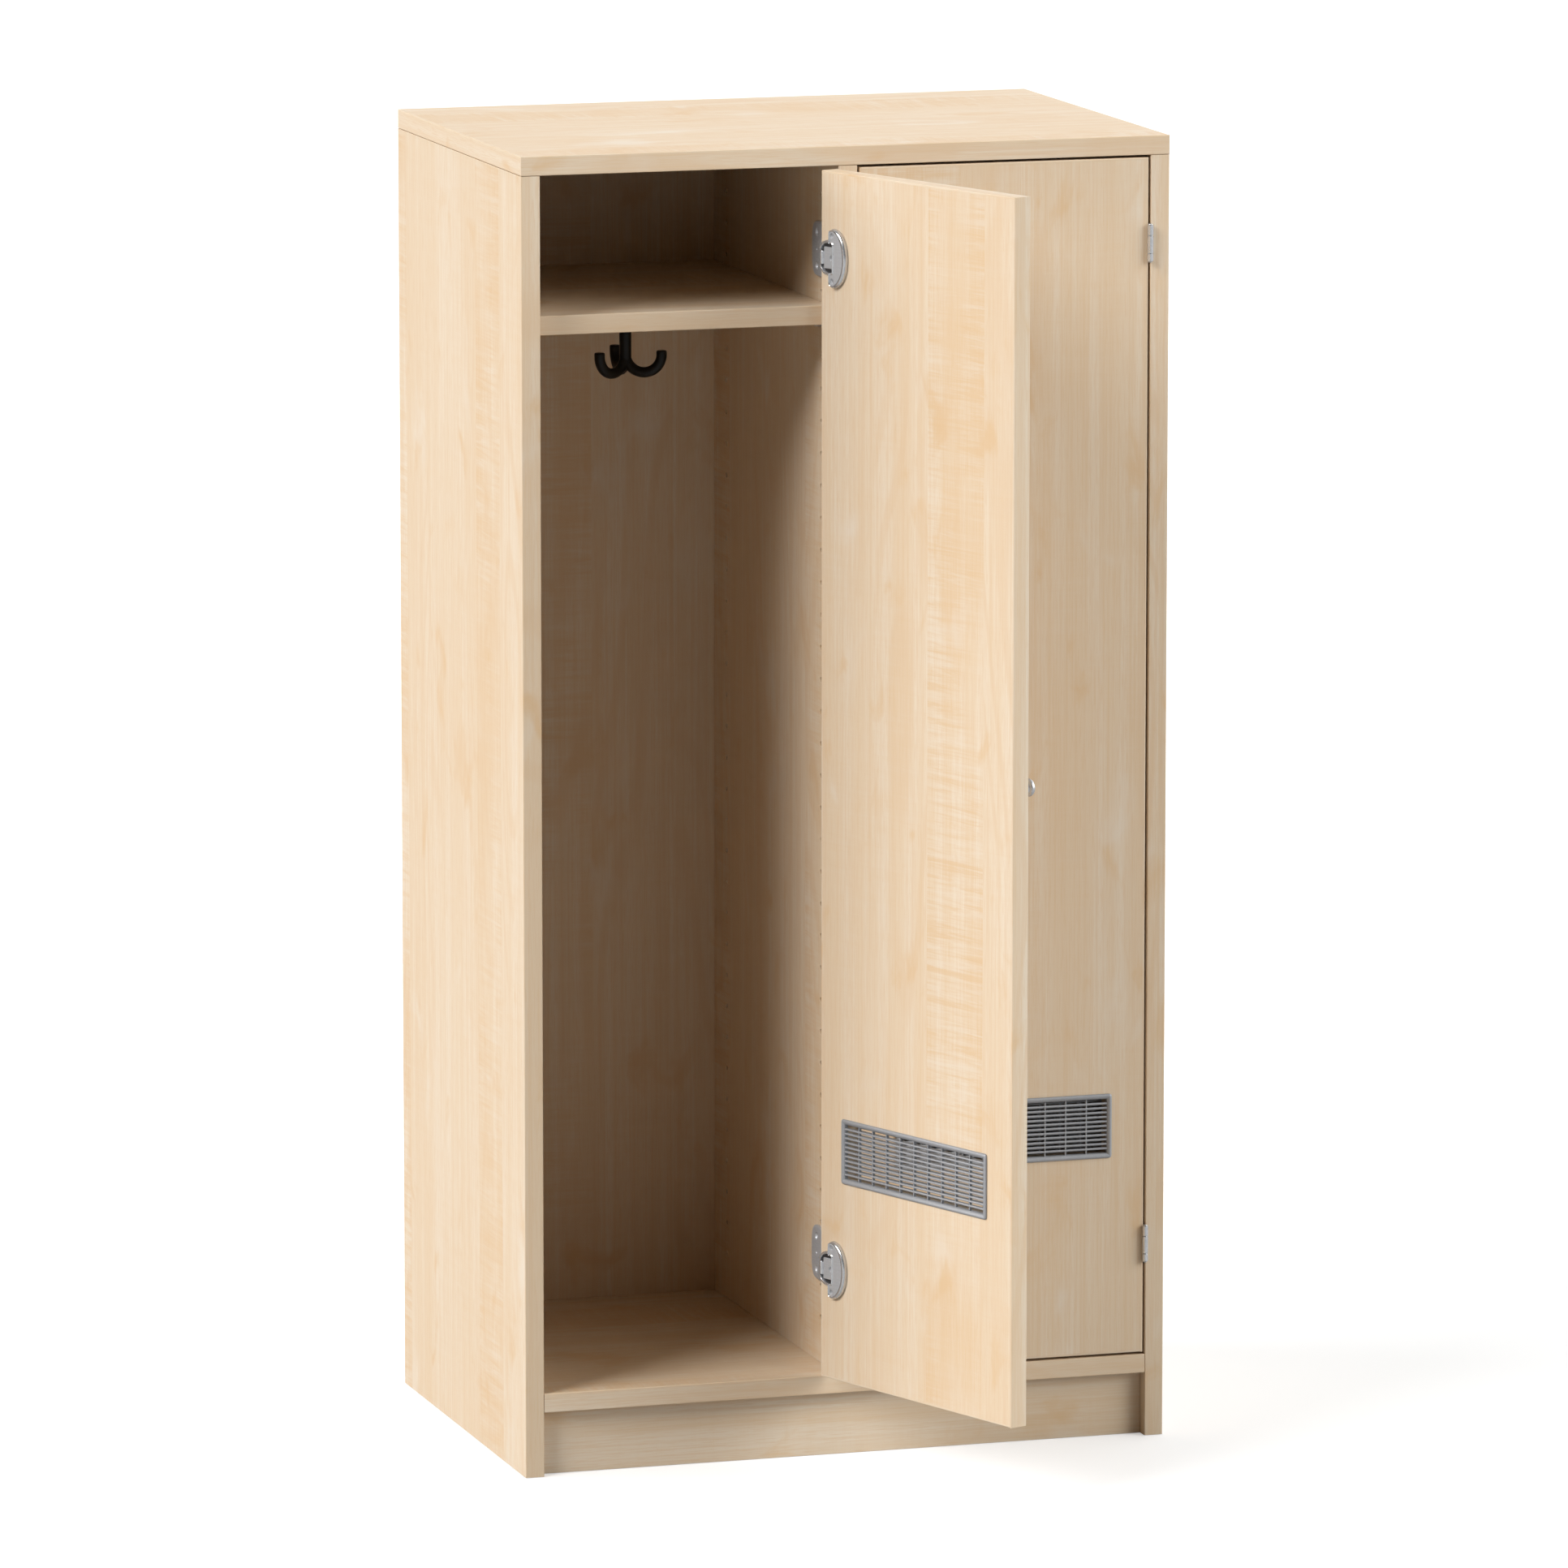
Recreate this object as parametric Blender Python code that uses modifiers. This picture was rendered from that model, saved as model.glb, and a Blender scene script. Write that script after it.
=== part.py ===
"""Two-door locker cabinet in melamine-faced board, as separate solids for a Blender scene.

Metres, +Z up, +X to the right, +Y to the back. The origin is on the floor, in the middle of the
plinth board's underside. The left door stands open and the right door is shut.
"""

from math import cos, pi, radians, sin

import bmesh
import bpy
from mathutils import Matrix, Vector

# Driving dimensions
MM = 0.001
GAP = 0.3 * MM              # left between pieces that touch
WIDTH = 660 * MM
HEIGHT = 1302 * MM
DEPTH = 450 * MM
BOARD = 19 * MM
BACK_BOARD = 8 * MM
BACK_FACE = 420.5 * MM      # from the front plane to the back panel's face
BACK_GROOVE = 6 * MM
PLINTH_HEIGHT = 64 * MM
PLINTH_RECESS = 13 * MM

HOLE_PITCH = 32 * MM
HOLE_DATUM = 641.5 * MM     # height of one hole of the rows of shelf pin holes
SHELF_SETBACK = 28 * MM
SHELF_SIDE_PLAY = 0.75 * MM
SHELF_PIN_STEP = 15         # hole that carries the shelf, counted up from the datum
PIN_ROWS = (57 * MM, 377 * MM)
PIN_RADIUS = 2.5 * MM
PIN_IN_BOARD = 8 * MM
PIN_OUT = 7 * MM

DOOR_GAP = 2.5 * MM
LEFT_DOOR_OPEN = radians(111)
PIVOT_PROUD = 3 * MM        # hinge axis in front of the front plane
KNOB_FROM_PIVOT = 270.5 * MM
KNOB_STEP = 2               # knob height, in holes above the datum
KNOB_RADIUS = 9 * MM
KNOB_REACH = 25 * MM
KNOB_SPIGOT_RADIUS = 3 * MM
KNOB_SPIGOT_LENGTH = 12 * MM

VENT_WIDTH = 225 * MM
VENT_HEIGHT = 65 * MM
VENT_CENTRE = 147.5 * MM    # from the hinge axis
VENT_Z = 317 * MM
VENT_FLANGE = 2 * MM
VENT_SLEEVE = 8 * MM
VENT_OPENING = (205 * MM, 48 * MM)
VENT_COLUMNS = 10
VENT_RIB = 3 * MM

LOWER_HINGE = 196 * MM
HINGE_SPACING = 1000.5 * MM
BARREL_RADIUS = 3 * MM
BARREL_BORE = 1.5 * MM
BARREL_HALF = 18 * MM
FRAME_KNUCKLE = (-10 * MM, 7.4 * MM)
HINGE_PIN_HEAD = (2.2 * MM, 0.8 * MM)       # radius and thickness
STRAP = 0.7 * MM            # sheet that runs beside the door's edge and the frame's face
COVER_THICKNESS = 4.5 * MM
COVER_CENTRE = -23 * MM     # the cover's oval end, from the hinge axis
COVER_REACH = 20.5 * MM
COVER_HALF_HEIGHT = 29 * MM
COVER_TIP = (-19.2 * MM, 27.6 * MM)
COVER_EDGE = -17.7 * MM     # its straight edge, towards the axis
COVER_CORNER = 24.5 * MM
COVER_RECESS = (-22.5 * MM, 14 * MM)        # bottom and half height of the recess in that edge
NECK_THICKNESS = 2.2 * MM
NECK_START = -26 * MM
NECK_REACH = 18.6 * MM
NECK_HALF_HEIGHT = 17.6 * MM
NECK_FULLNESS = 2.5         # exponent of the neck's oval outline
NECK_SLOT_X = (-21.5 * MM, -6.5 * MM)
NECK_SLOT_Z = (11.2 * MM, 13.4 * MM)
ROLL_RADIUS = 3.2 * MM
ROLL_X = -5.5 * MM
ROLL_LENGTH = 13 * MM
BEND_HALF = 7 * MM          # where the neck turns round the door's edge
FRAME_PLATE_THICKNESS = 4 * MM
FRAME_PLATE_DROP = 3 * MM
FRAME_PLATE_START = 30 * MM
FRAME_PLATE_SQUARE = 67 * MM
FRAME_PLATE_BULGE = 11 * MM
FRAME_PLATE_HALF = 27 * MM
COVER_SCREW_X = -21.2 * MM
COVER_SCREW_Z = 22.5 * MM
FRAME_SCREW_Y = 60 * MM
FRAME_SCREW_Z = 16.5 * MM
SCREW_HEAD_RADIUS = 3 * MM
SCREW_RADIUS = 1.5 * MM
SCREW_LENGTH = 15 * MM
SCREW_HEAD_DEPTH = 0.4 * MM     # below the face that it is driven into
SCREW_THREAD_BORE = 12 * MM     # depth of its bore in the board

HOOK_STEM_RADIUS = 6 * MM
HOOK_PRONG_RADIUS = 5.25 * MM
HOOK_REACH = 36.8 * MM      # stem axis to prong tip axis
HOOK_BOTTOM = 65 * MM       # shelf underside to the lowest point of the prongs' centre line
HOOK_TIP_RISE = 4 * MM
HOOK_TURN = radians(-30)    # direction of the first prong
HOOK_FLANGE_RADIUS = 16 * MM
HOOK_FLANGE = 3 * MM
HOOK_NECK_RADIUS = 3.6 * MM     # of the stem where it turns in the flange

# Derived places
FRONT = -(PLINTH_RECESS + BOARD / 2)
REAR = FRONT + DEPTH
BACK_Y = FRONT + BACK_FACE
INNER = WIDTH / 2 - BOARD
TOP_UNDER = HEIGHT - BOARD
FLOOR_TOP = PLINTH_HEIGHT + BOARD
BAY = INNER - BOARD / 2
BAY_CENTRE = BOARD / 2 + BAY / 2
DOOR_WIDTH = BAY - 2 * DOOR_GAP
DOOR_LOW = FLOOR_TOP + DOOR_GAP
DOOR_HIGH = TOP_UNDER - DOOR_GAP
PIVOT_Y = FRONT - PIVOT_PROUD
PIVOTS = {"left": -BOARD / 2 - DOOR_GAP / 2, "right": INNER - DOOR_GAP / 2}
OUTER_FACE = PIVOT_PROUD    # door faces, measured back from the hinge axis
INNER_FACE = PIVOT_PROUD + BOARD
SHELF_PIN_Z = HOLE_DATUM + SHELF_PIN_STEP * HOLE_PITCH
SHELF_UNDER = SHELF_PIN_Z + PIN_RADIUS + GAP
KNOB_Z = HOLE_DATUM + KNOB_STEP * HOLE_PITCH
HINGE_HEIGHTS = {"lower": LOWER_HINGE, "upper": LOWER_HINGE + HINGE_SPACING}

TURN_TO_X = Matrix.Rotation(pi / 2, 4, "Y")
TURN_TO_MINUS_Y = Matrix.Rotation(pi / 2, 4, "X")
TURN_TO_PLUS_Y = Matrix.Rotation(-pi / 2, 4, "X")

for old in list(bpy.data.objects):
    bpy.data.objects.remove(old, do_unlink=True)

parts = bpy.data.collections.new("locker_cabinet")
bpy.context.scene.collection.children.link(parts)
workbench = bpy.data.collections.new("workbench")
bpy.context.scene.collection.children.link(workbench)


def material(name, colour, roughness, metallic=0.0):
    """A Principled material of one colour."""
    made = bpy.data.materials.new(name)
    made.use_nodes = True
    shader = made.node_tree.nodes["Principled BSDF"]
    shader.inputs["Base Color"].default_value = (*colour, 1.0)
    shader.inputs["Roughness"].default_value = roughness
    shader.inputs["Metallic"].default_value = metallic
    return made


MAPLE = material("maple_melamine", (0.72, 0.55, 0.36), 0.45)
NICKEL = material("satin_nickel", (0.55, 0.55, 0.55), 0.3, 1.0)
GREY_PLASTIC = material("silver_grey_plastic", (0.42, 0.42, 0.42), 0.4)
BLACK_METAL = material("black_lacquered_steel", (0.015, 0.015, 0.015), 0.35)


def mesh_from(bm):
    """A mesh holding a bmesh's faces, which is then freed."""
    mesh = bpy.data.meshes.new("shape")
    bm.to_mesh(mesh)
    bm.free()
    return mesh


def box(low, high, bevel=0.0):
    """A block between two corners, with its edges broken by a small chamfer if asked."""
    bm = bmesh.new()
    bmesh.ops.create_cube(bm, size=1.0)
    low, high = Vector(low), Vector(high)
    bmesh.ops.scale(bm, vec=high - low, verts=bm.verts)
    bmesh.ops.translate(bm, vec=(high + low) / 2, verts=bm.verts)
    if bevel:
        bmesh.ops.bevel(bm, geom=bm.edges[:], offset=bevel, segments=1, affect="EDGES")
    return mesh_from(bm)


def cone(radius, end_radius, length, place, segments=12):
    """A round bar from the origin of place along its +Z, from radius to end_radius."""
    bm = bmesh.new()
    bmesh.ops.create_cone(
        bm,
        cap_ends=True,
        segments=segments,
        radius1=radius,
        radius2=end_radius,
        depth=length,
        matrix=place @ Matrix.Translation((0, 0, length / 2)),
    )
    return mesh_from(bm)


def rod(radius, length, place, segments=12):
    """A round bar of one radius."""
    return cone(radius, radius, length, place, segments)


def at(x, y, z):
    """A plain shift."""
    return Matrix.Translation((x, y, z))


def on_bench(mesh):
    """A working object in the workbench collection, hidden from renders."""
    thing = bpy.data.objects.new("bench_piece", mesh)
    thing.hide_render = True
    thing.display_type = "WIRE"
    workbench.objects.link(thing)
    return thing


def evaluated_mesh(thing):
    """The mesh of an object with its modifiers applied, its loose seams welded."""
    bpy.context.view_layer.update()
    graph = bpy.context.evaluated_depsgraph_get()
    mesh = bpy.data.meshes.new_from_object(thing.evaluated_get(graph))
    bm = bmesh.new()
    bm.from_mesh(mesh)
    bmesh.ops.remove_doubles(bm, verts=bm.verts, dist=0.002 * MM)
    bm.to_mesh(mesh)
    bm.free()
    return mesh


def carve(base, added=(), cut=()):
    """One mesh: base joined with each of added, less each of cut."""
    body = on_bench(base)
    tools = []
    for operation, shapes in (("UNION", added), ("DIFFERENCE", cut)):
        for shape in shapes:
            tool = on_bench(shape)
            tools.append(tool)
            step = body.modifiers.new(operation.lower(), "BOOLEAN")
            step.operation = operation
            step.object = tool
            step.solver = "EXACT"
    mesh = evaluated_mesh(body)
    for thing in (body, *tools):
        bpy.data.objects.remove(thing, do_unlink=True)
    return mesh


def flat_plate(outline, thickness):
    """A flat outline in X and Y, as a solid from Z = 0 up to its thickness."""
    curve = bpy.data.curves.new("outline", "CURVE")
    curve.dimensions = "2D"
    curve.fill_mode = "BOTH"
    curve.extrude = thickness / 2
    spline = curve.splines.new("POLY")
    spline.points.add(len(outline) - 1)
    for point, (x, y) in zip(spline.points, outline):
        point.co = (x, y, 0, 1)
    spline.use_cyclic_u = True
    thing = bpy.data.objects.new("outline", curve)
    workbench.objects.link(thing)
    mesh = evaluated_mesh(thing)
    bpy.data.objects.remove(thing, do_unlink=True)
    mesh.transform(at(0, 0, thickness / 2))
    return mesh


def turned(profile, segments):
    """A profile of radius and height pairs, top to bottom down its outer side, spun about Z."""
    mesh = bpy.data.meshes.new("profile")
    mesh.from_pydata([(r, 0, z) for r, z in profile], [(i, i + 1) for i in range(len(profile) - 1)], [])
    thing = on_bench(mesh)
    spin = thing.modifiers.new("spin", "SCREW")
    spin.steps = segments
    spin.render_steps = segments
    spin.use_merge_vertices = True
    spin.merge_threshold = 0.01 * MM
    made = evaluated_mesh(thing)
    bpy.data.objects.remove(thing, do_unlink=True)
    return made


def tube(path, radius):
    """A round tube with closed ends along a list of points."""
    curve = bpy.data.curves.new("path", "CURVE")
    curve.dimensions = "3D"
    curve.bevel_depth = radius
    curve.bevel_resolution = 2
    curve.use_fill_caps = True
    spline = curve.splines.new("POLY")
    spline.points.add(len(path) - 1)
    for point, place in zip(spline.points, path):
        point.co = (*place, 1)
    thing = bpy.data.objects.new("path", curve)
    workbench.objects.link(thing)
    mesh = evaluated_mesh(thing)
    bpy.data.objects.remove(thing, do_unlink=True)
    return mesh


def place(name, mesh, finish, location=(0, 0, 0), parent=None, turn=0.0):
    """One named piece of the cabinet, at its location in its parent."""
    piece = bpy.data.objects.new(name, mesh)
    if not mesh.materials:
        mesh.materials.append(finish)
    parts.objects.link(piece)
    piece.location = location
    piece.rotation_euler = (0, 0, turn)
    piece.parent = parent
    return piece


def pivot(name, location, turn=0.0):
    """An empty on a joint's axis, which carries the pieces that turn with it."""
    empty = bpy.data.objects.new(name, None)
    empty.location = location
    empty.rotation_euler = (0, 0, turn)
    parts.objects.link(empty)
    return empty


def pin_holes(faces):
    """Bores for the shelf pins in board faces, each given as its X and the side it faces."""
    return [
        rod(PIN_RADIUS + GAP, PIN_IN_BOARD + 2 * GAP, at(x, FRONT + row, SHELF_PIN_Z) @ turned_to(side))
        for x, side in faces
        for row in PIN_ROWS
    ]


def turned_to(side):
    """A turn of +Z into the board, away from the side that its face looks to."""
    return TURN_TO_X if side < 0 else TURN_TO_X.inverted()


def frame_screw_holes(pivot_x):
    """Pilot bores for the screws of both frame leaves of one door, in the board to their right."""
    face = pivot_x + DOOR_GAP / 2
    return [
        rod(SCREW_RADIUS + GAP, SCREW_THREAD_BORE, at(face - GAP, PIVOT_Y + FRAME_SCREW_Y, z) @ TURN_TO_X)
        for height in HINGE_HEIGHTS.values()
        for z in (height - FRAME_PLATE_DROP + FRAME_SCREW_Z, height - FRAME_PLATE_DROP - FRAME_SCREW_Z)
    ]


# Carcass boards
BREAK = 0.5 * MM
side_top = TOP_UNDER - GAP
back_slot = {
    side: box(
        (side * INNER - BACK_GROOVE - GAP, BACK_Y - GAP, PLINTH_HEIGHT - GAP),
        (side * INNER + BACK_GROOVE + GAP, BACK_Y + BACK_BOARD + GAP, HEIGHT),
    )
    for side in (-1, 1)
}
place(
    "left_side_panel",
    carve(
        box((-WIDTH / 2, FRONT, 0), (-INNER, REAR, side_top), BREAK),
        cut=[back_slot[-1], *pin_holes([(-INNER, 1)])],
    ),
    MAPLE,
)
place(
    "right_side_panel",
    carve(
        box((INNER, FRONT, 0), (WIDTH / 2, REAR, side_top), BREAK),
        cut=[back_slot[1], *pin_holes([(INNER, -1)]), *frame_screw_holes(PIVOTS["right"])],
    ),
    MAPLE,
)
place(
    "divider_panel",
    carve(
        box((-BOARD / 2, FRONT, FLOOR_TOP + GAP), (BOARD / 2, BACK_Y - GAP, side_top), BREAK),
        cut=[*pin_holes([(-BOARD / 2, -1), (BOARD / 2, 1)]), *frame_screw_holes(PIVOTS["left"])],
    ),
    MAPLE,
)
place(
    "top_panel",
    carve(
        box((-WIDTH / 2, FRONT, TOP_UNDER), (WIDTH / 2, REAR, HEIGHT), BREAK),
        cut=[
            box(
                (-INNER - BACK_GROOVE, BACK_Y - GAP, TOP_UNDER - BACK_GROOVE),
                (INNER + BACK_GROOVE, BACK_Y + BACK_BOARD + GAP, TOP_UNDER + BACK_GROOVE),
            )
        ],
    ),
    MAPLE,
)
place(
    "floor_panel",
    box((-INNER + GAP, FRONT, PLINTH_HEIGHT), (INNER - GAP, BACK_Y - GAP, FLOOR_TOP), BREAK),
    MAPLE,
)
place(
    "plinth_board",
    box(
        (-INNER + GAP, FRONT + PLINTH_RECESS, 0),
        (INNER - GAP, FRONT + PLINTH_RECESS + BOARD, PLINTH_HEIGHT - GAP),
        BREAK,
    ),
    MAPLE,
)
place(
    "back_panel",
    box(
        (-INNER - BACK_GROOVE + GAP, BACK_Y, PLINTH_HEIGHT),
        (INNER + BACK_GROOVE - GAP, BACK_Y + BACK_BOARD, TOP_UNDER + BACK_GROOVE - GAP),
    ),
    MAPLE,
)

# Shelves, each resting on four plain pins in the rows of holes, two bays alike
shelf_half = BAY / 2 - SHELF_SIDE_PLAY
shelf = box(
    (-shelf_half, FRONT + SHELF_SETBACK, SHELF_UNDER),
    (shelf_half, BACK_Y - 2 * MM, SHELF_UNDER + BOARD),
    BREAK,
)
pin_end = 0.4 * MM
shelf_pin = turned(
    [
        (0, PIN_OUT),
        (PIN_RADIUS - pin_end, PIN_OUT),
        (PIN_RADIUS, PIN_OUT - pin_end),
        (PIN_RADIUS, -PIN_IN_BOARD + pin_end),
        (PIN_RADIUS - pin_end, -PIN_IN_BOARD),
        (0, -PIN_IN_BOARD),
    ],
    12,
)
pin_of_wall = {1: shelf_pin.copy(), -1: shelf_pin.copy()}
for inward, pin in pin_of_wall.items():
    pin.transform(turned_to(-inward))
bays = {"left": -BAY_CENTRE, "right": BAY_CENTRE}
for bay, centre in bays.items():
    place(f"{bay}_shelf", shelf, MAPLE, (centre, 0, 0))
    seats = [(inward, row) for inward in (1, -1) for row in PIN_ROWS]
    for number, (inward, row) in enumerate(seats, 1):
        spot = (centre - inward * BAY / 2, FRONT + row, SHELF_PIN_Z)
        place(f"{bay}_shelf_pin_{number}", pin_of_wall[inward], NICKEL, spot)

# Coat hooks: a round flange under each shelf, and a stem with three prongs that turns in it
flange_bore = HOOK_NECK_RADIUS + GAP
flange_edge = 1.2 * MM
flange = turned(
    [
        (flange_bore, -GAP),
        (HOOK_FLANGE_RADIUS, -GAP),
        (HOOK_FLANGE_RADIUS, -GAP - HOOK_FLANGE + flange_edge),
        (HOOK_FLANGE_RADIUS - flange_edge, -GAP - HOOK_FLANGE),
        (flange_bore, -GAP - HOOK_FLANGE),
        (flange_bore, -GAP),
    ],
    20,
)
stem_top = -GAP - HOOK_FLANGE - GAP
bend = HOOK_REACH / 2
bend_centre = -HOOK_BOTTOM + bend
stem_taper = bend_centre - 4 * MM
stem_bottom = bend_centre - 10 * MM
stem = turned(
    [
        (0, -2 * GAP),
        (HOOK_NECK_RADIUS, -2 * GAP),
        (HOOK_NECK_RADIUS, stem_top),
        (HOOK_STEM_RADIUS, stem_top),
        (HOOK_STEM_RADIUS, stem_taper),
        (HOOK_STEM_RADIUS / 2, stem_bottom),
        (0, stem_bottom),
    ],
    16,
)


def prong(turn):
    """One prong: a half circle from the stem's axis out and up, with a short straight tip."""
    steps = 9
    angles = [pi * i / steps for i in range(steps + 1)]
    flat = [(bend - bend * cos(angle), bend_centre - bend * sin(angle)) for angle in angles]
    flat.append((HOOK_REACH, bend_centre + HOOK_TIP_RISE))
    return tube([(r * cos(turn), r * sin(turn), z) for r, z in flat], HOOK_PRONG_RADIUS)


hook = carve(stem, added=[prong(HOOK_TURN + 2 * pi * i / 3) for i in range(3)])
shelf_middle = FRONT + (SHELF_SETBACK + BACK_FACE - 2 * MM) / 2
for bay, centre in bays.items():
    hang = (centre, shelf_middle, SHELF_UNDER)
    place(f"{bay}_hook_flange", flange, BLACK_METAL, hang)
    place(f"{bay}_hook", hook, BLACK_METAL, (0, 0, 0), pivot(f"{bay}_hook_axis", hang))


# Hinges. Their own frame has its origin on the axis, the door on the -X side and +Y to the back
def half_oval(centre, half_width, half_height, steps):
    """Points of the left half of an oval, from its top round to its bottom."""
    return [
        (centre - half_width * sin(pi * i / steps), half_height * cos(pi * i / steps))
        for i in range(steps + 1)
    ]


def stand_up(mesh, y):
    """Turns a flat plate's outline from X and Y to X and Z, with its thickness from y back."""
    mesh.transform(at(0, y, 0) @ TURN_TO_MINUS_Y @ Matrix.Scale(-1, 4, (0, 0, 1)))
    mesh.flip_normals()
    return mesh


def countersunk(place_of_head):
    """A cutter for a countersunk screw, its head's top at the origin of the place, along +Z."""
    head = SCREW_HEAD_RADIUS + GAP + 0.1 * MM
    shank = SCREW_RADIUS + GAP
    above = -5 * MM
    below = 9 * MM
    cutter = turned([(0, below), (shank, below), (shank, 2 * MM), (head, 0), (head, above), (0, above)], 12)
    cutter.transform(place_of_head)
    return cutter


# faces that meet inside one leaf are kept this far out of line, so that they join cleanly
STEP = 0.05 * MM
face = INNER_FACE + GAP
cover_front = face + COVER_THICKNESS
tip_x, tip_z = COVER_TIP
recess_x, recess_z = COVER_RECESS
cover_side = [(tip_x, tip_z), (COVER_EDGE, COVER_CORNER), (COVER_EDGE, recess_z), (recess_x, recess_z)]
cover_outline = [
    *half_oval(COVER_CENTRE, COVER_REACH, COVER_HALF_HEIGHT, 16),
    *[(x, -z) for x, z in cover_side],
    *reversed(cover_side),
]
cover = stand_up(flat_plate(cover_outline, COVER_THICKNESS - STEP), face + STEP)

strap_low = -DOOR_GAP / 2 + GAP
strap_high = strap_low + STRAP
neck_end = strap_high - 2 * STEP
neck_steps = 8
neck_side = []
for i in range(neck_steps + 1):
    run = sin(pi / 2 * i / neck_steps) * (neck_end - COVER_EDGE)
    drop = (run / NECK_REACH) ** NECK_FULLNESS
    neck_side.append((COVER_EDGE + run, NECK_HALF_HEIGHT * (1 - drop) ** (1 / NECK_FULLNESS)))
neck_outline = [
    (NECK_START, NECK_HALF_HEIGHT),
    *neck_side,
    *[(x, -z) for x, z in reversed(neck_side)],
    (NECK_START, -NECK_HALF_HEIGHT),
]
neck = stand_up(flat_plate(neck_outline, NECK_THICKNESS), face)
slot_left, slot_right = NECK_SLOT_X
slots = [
    box((slot_left, face - MM, low), (slot_right, face + NECK_THICKNESS + STEP / 5, high))
    for low, high in (NECK_SLOT_Z, (-NECK_SLOT_Z[1], -NECK_SLOT_Z[0]))
]
edge_strap = box(
    (strap_low, -BARREL_BORE, -BARREL_HALF),
    (strap_high, INNER_FACE - MM, BARREL_HALF),
)
edge_bend = box(
    (strap_low + STEP, INNER_FACE - 2 * MM, -BEND_HALF),
    (strap_high - STEP, face + NECK_THICKNESS - STEP, BEND_HALF),
)
roll_outline = [
    (ROLL_X + ROLL_RADIUS * cos(pi * i / 8), face + MM + ROLL_RADIUS * sin(pi * i / 8))
    for i in range(9)
]
roll = flat_plate(roll_outline, ROLL_LENGTH)
roll.transform(at(0, 0, -ROLL_LENGTH / 2))
barrel = rod(BARREL_RADIUS, 2 * BARREL_HALF, at(0, 0, -BARREL_HALF), 14)
pin_bore = rod(BARREL_BORE, 3 * BARREL_HALF, at(0, 0, -1.5 * BARREL_HALF), 10)
room = 2 * BARREL_RADIUS
knuckle_room = box(
    (-room, -room, FRAME_KNUCKLE[0] - GAP),
    (room, BARREL_RADIUS + 2 * GAP, FRAME_KNUCKLE[1] + GAP),
)
cover_screw_spots = [(COVER_SCREW_X, COVER_SCREW_Z), (COVER_SCREW_X, -COVER_SCREW_Z)]
cover_screw_top = cover_front - SCREW_HEAD_DEPTH
door_leaf = carve(
    cover,
    added=[neck, edge_strap, edge_bend, roll, barrel],
    cut=[
        knuckle_room,
        pin_bore,
        *slots,
        *[countersunk(at(x, cover_screw_top, z) @ TURN_TO_MINUS_Y) for x, z in cover_screw_spots],
    ],
)

plate_right = DOOR_GAP / 2 - GAP
plate_left = plate_right - FRAME_PLATE_THICKNESS
plate_bulge = [
    (
        FRAME_PLATE_SQUARE + FRAME_PLATE_BULGE * cos(pi * i / 12),
        FRAME_PLATE_HALF * sin(pi * i / 12),
    )
    for i in range(-6, 7)
]
frame_outline = [
    (FRAME_PLATE_START, FRAME_PLATE_HALF),
    (FRAME_PLATE_START, -FRAME_PLATE_HALF),
    *plate_bulge,
]
frame_plate = flat_plate(frame_outline, FRAME_PLATE_THICKNESS)
# the outline's X runs to the back and its Y runs up
frame_plate.transform(
    at(plate_left, 0, -FRAME_PLATE_DROP) @ Matrix(((0, 0, 1, 0), (1, 0, 0, 0), (0, 1, 0, 0), (0, 0, 0, 1)))
)
frame_strap = box(
    (plate_right - STRAP, -GAP, FRAME_KNUCKLE[0]),
    (plate_right - STEP, FRAME_PLATE_START + MM, FRAME_KNUCKLE[1]),
)
frame_knuckle = rod(BARREL_RADIUS, FRAME_KNUCKLE[1] - FRAME_KNUCKLE[0], at(0, 0, FRAME_KNUCKLE[0]), 14)
frame_screw_spots = [
    (FRAME_SCREW_Y, -FRAME_PLATE_DROP + FRAME_SCREW_Z),
    (FRAME_SCREW_Y, -FRAME_PLATE_DROP - FRAME_SCREW_Z),
]
frame_screw_top = plate_left + SCREW_HEAD_DEPTH
frame_leaf = carve(
    frame_plate,
    added=[frame_strap, frame_knuckle],
    cut=[
        pin_bore.copy(),
        *[countersunk(at(frame_screw_top, y, z) @ TURN_TO_X) for y, z in frame_screw_spots],
    ],
)

pin_radius = BARREL_BORE - GAP
pin_head, head_thickness = HINGE_PIN_HEAD
shoulder = BARREL_HALF + GAP
hinge_pin = turned(
    [
        (0, shoulder + head_thickness),
        (pin_head, shoulder + head_thickness),
        (pin_head, shoulder),
        (pin_radius, shoulder),
        (pin_radius, -shoulder),
        (pin_head, -shoulder),
        (pin_head, -shoulder - head_thickness),
        (0, -shoulder - head_thickness),
    ],
    12,
)
# a screw along +Z with its head's top at 0, turned to the back for the door and to +X for the frame
screw = turned(
    [
        (0, SCREW_LENGTH),
        (SCREW_RADIUS * 0.4, SCREW_LENGTH),
        (SCREW_RADIUS, SCREW_LENGTH - 2 * MM),
        (SCREW_RADIUS, 1.9 * MM),
        (SCREW_HEAD_RADIUS, 0.2 * MM),
        (SCREW_HEAD_RADIUS - 0.3 * MM, 0),
        (0, 0),
    ],
    12,
)
door_screw = screw.copy()
door_screw.transform(TURN_TO_MINUS_Y)
frame_screw = screw.copy()
frame_screw.transform(TURN_TO_X)

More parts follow.
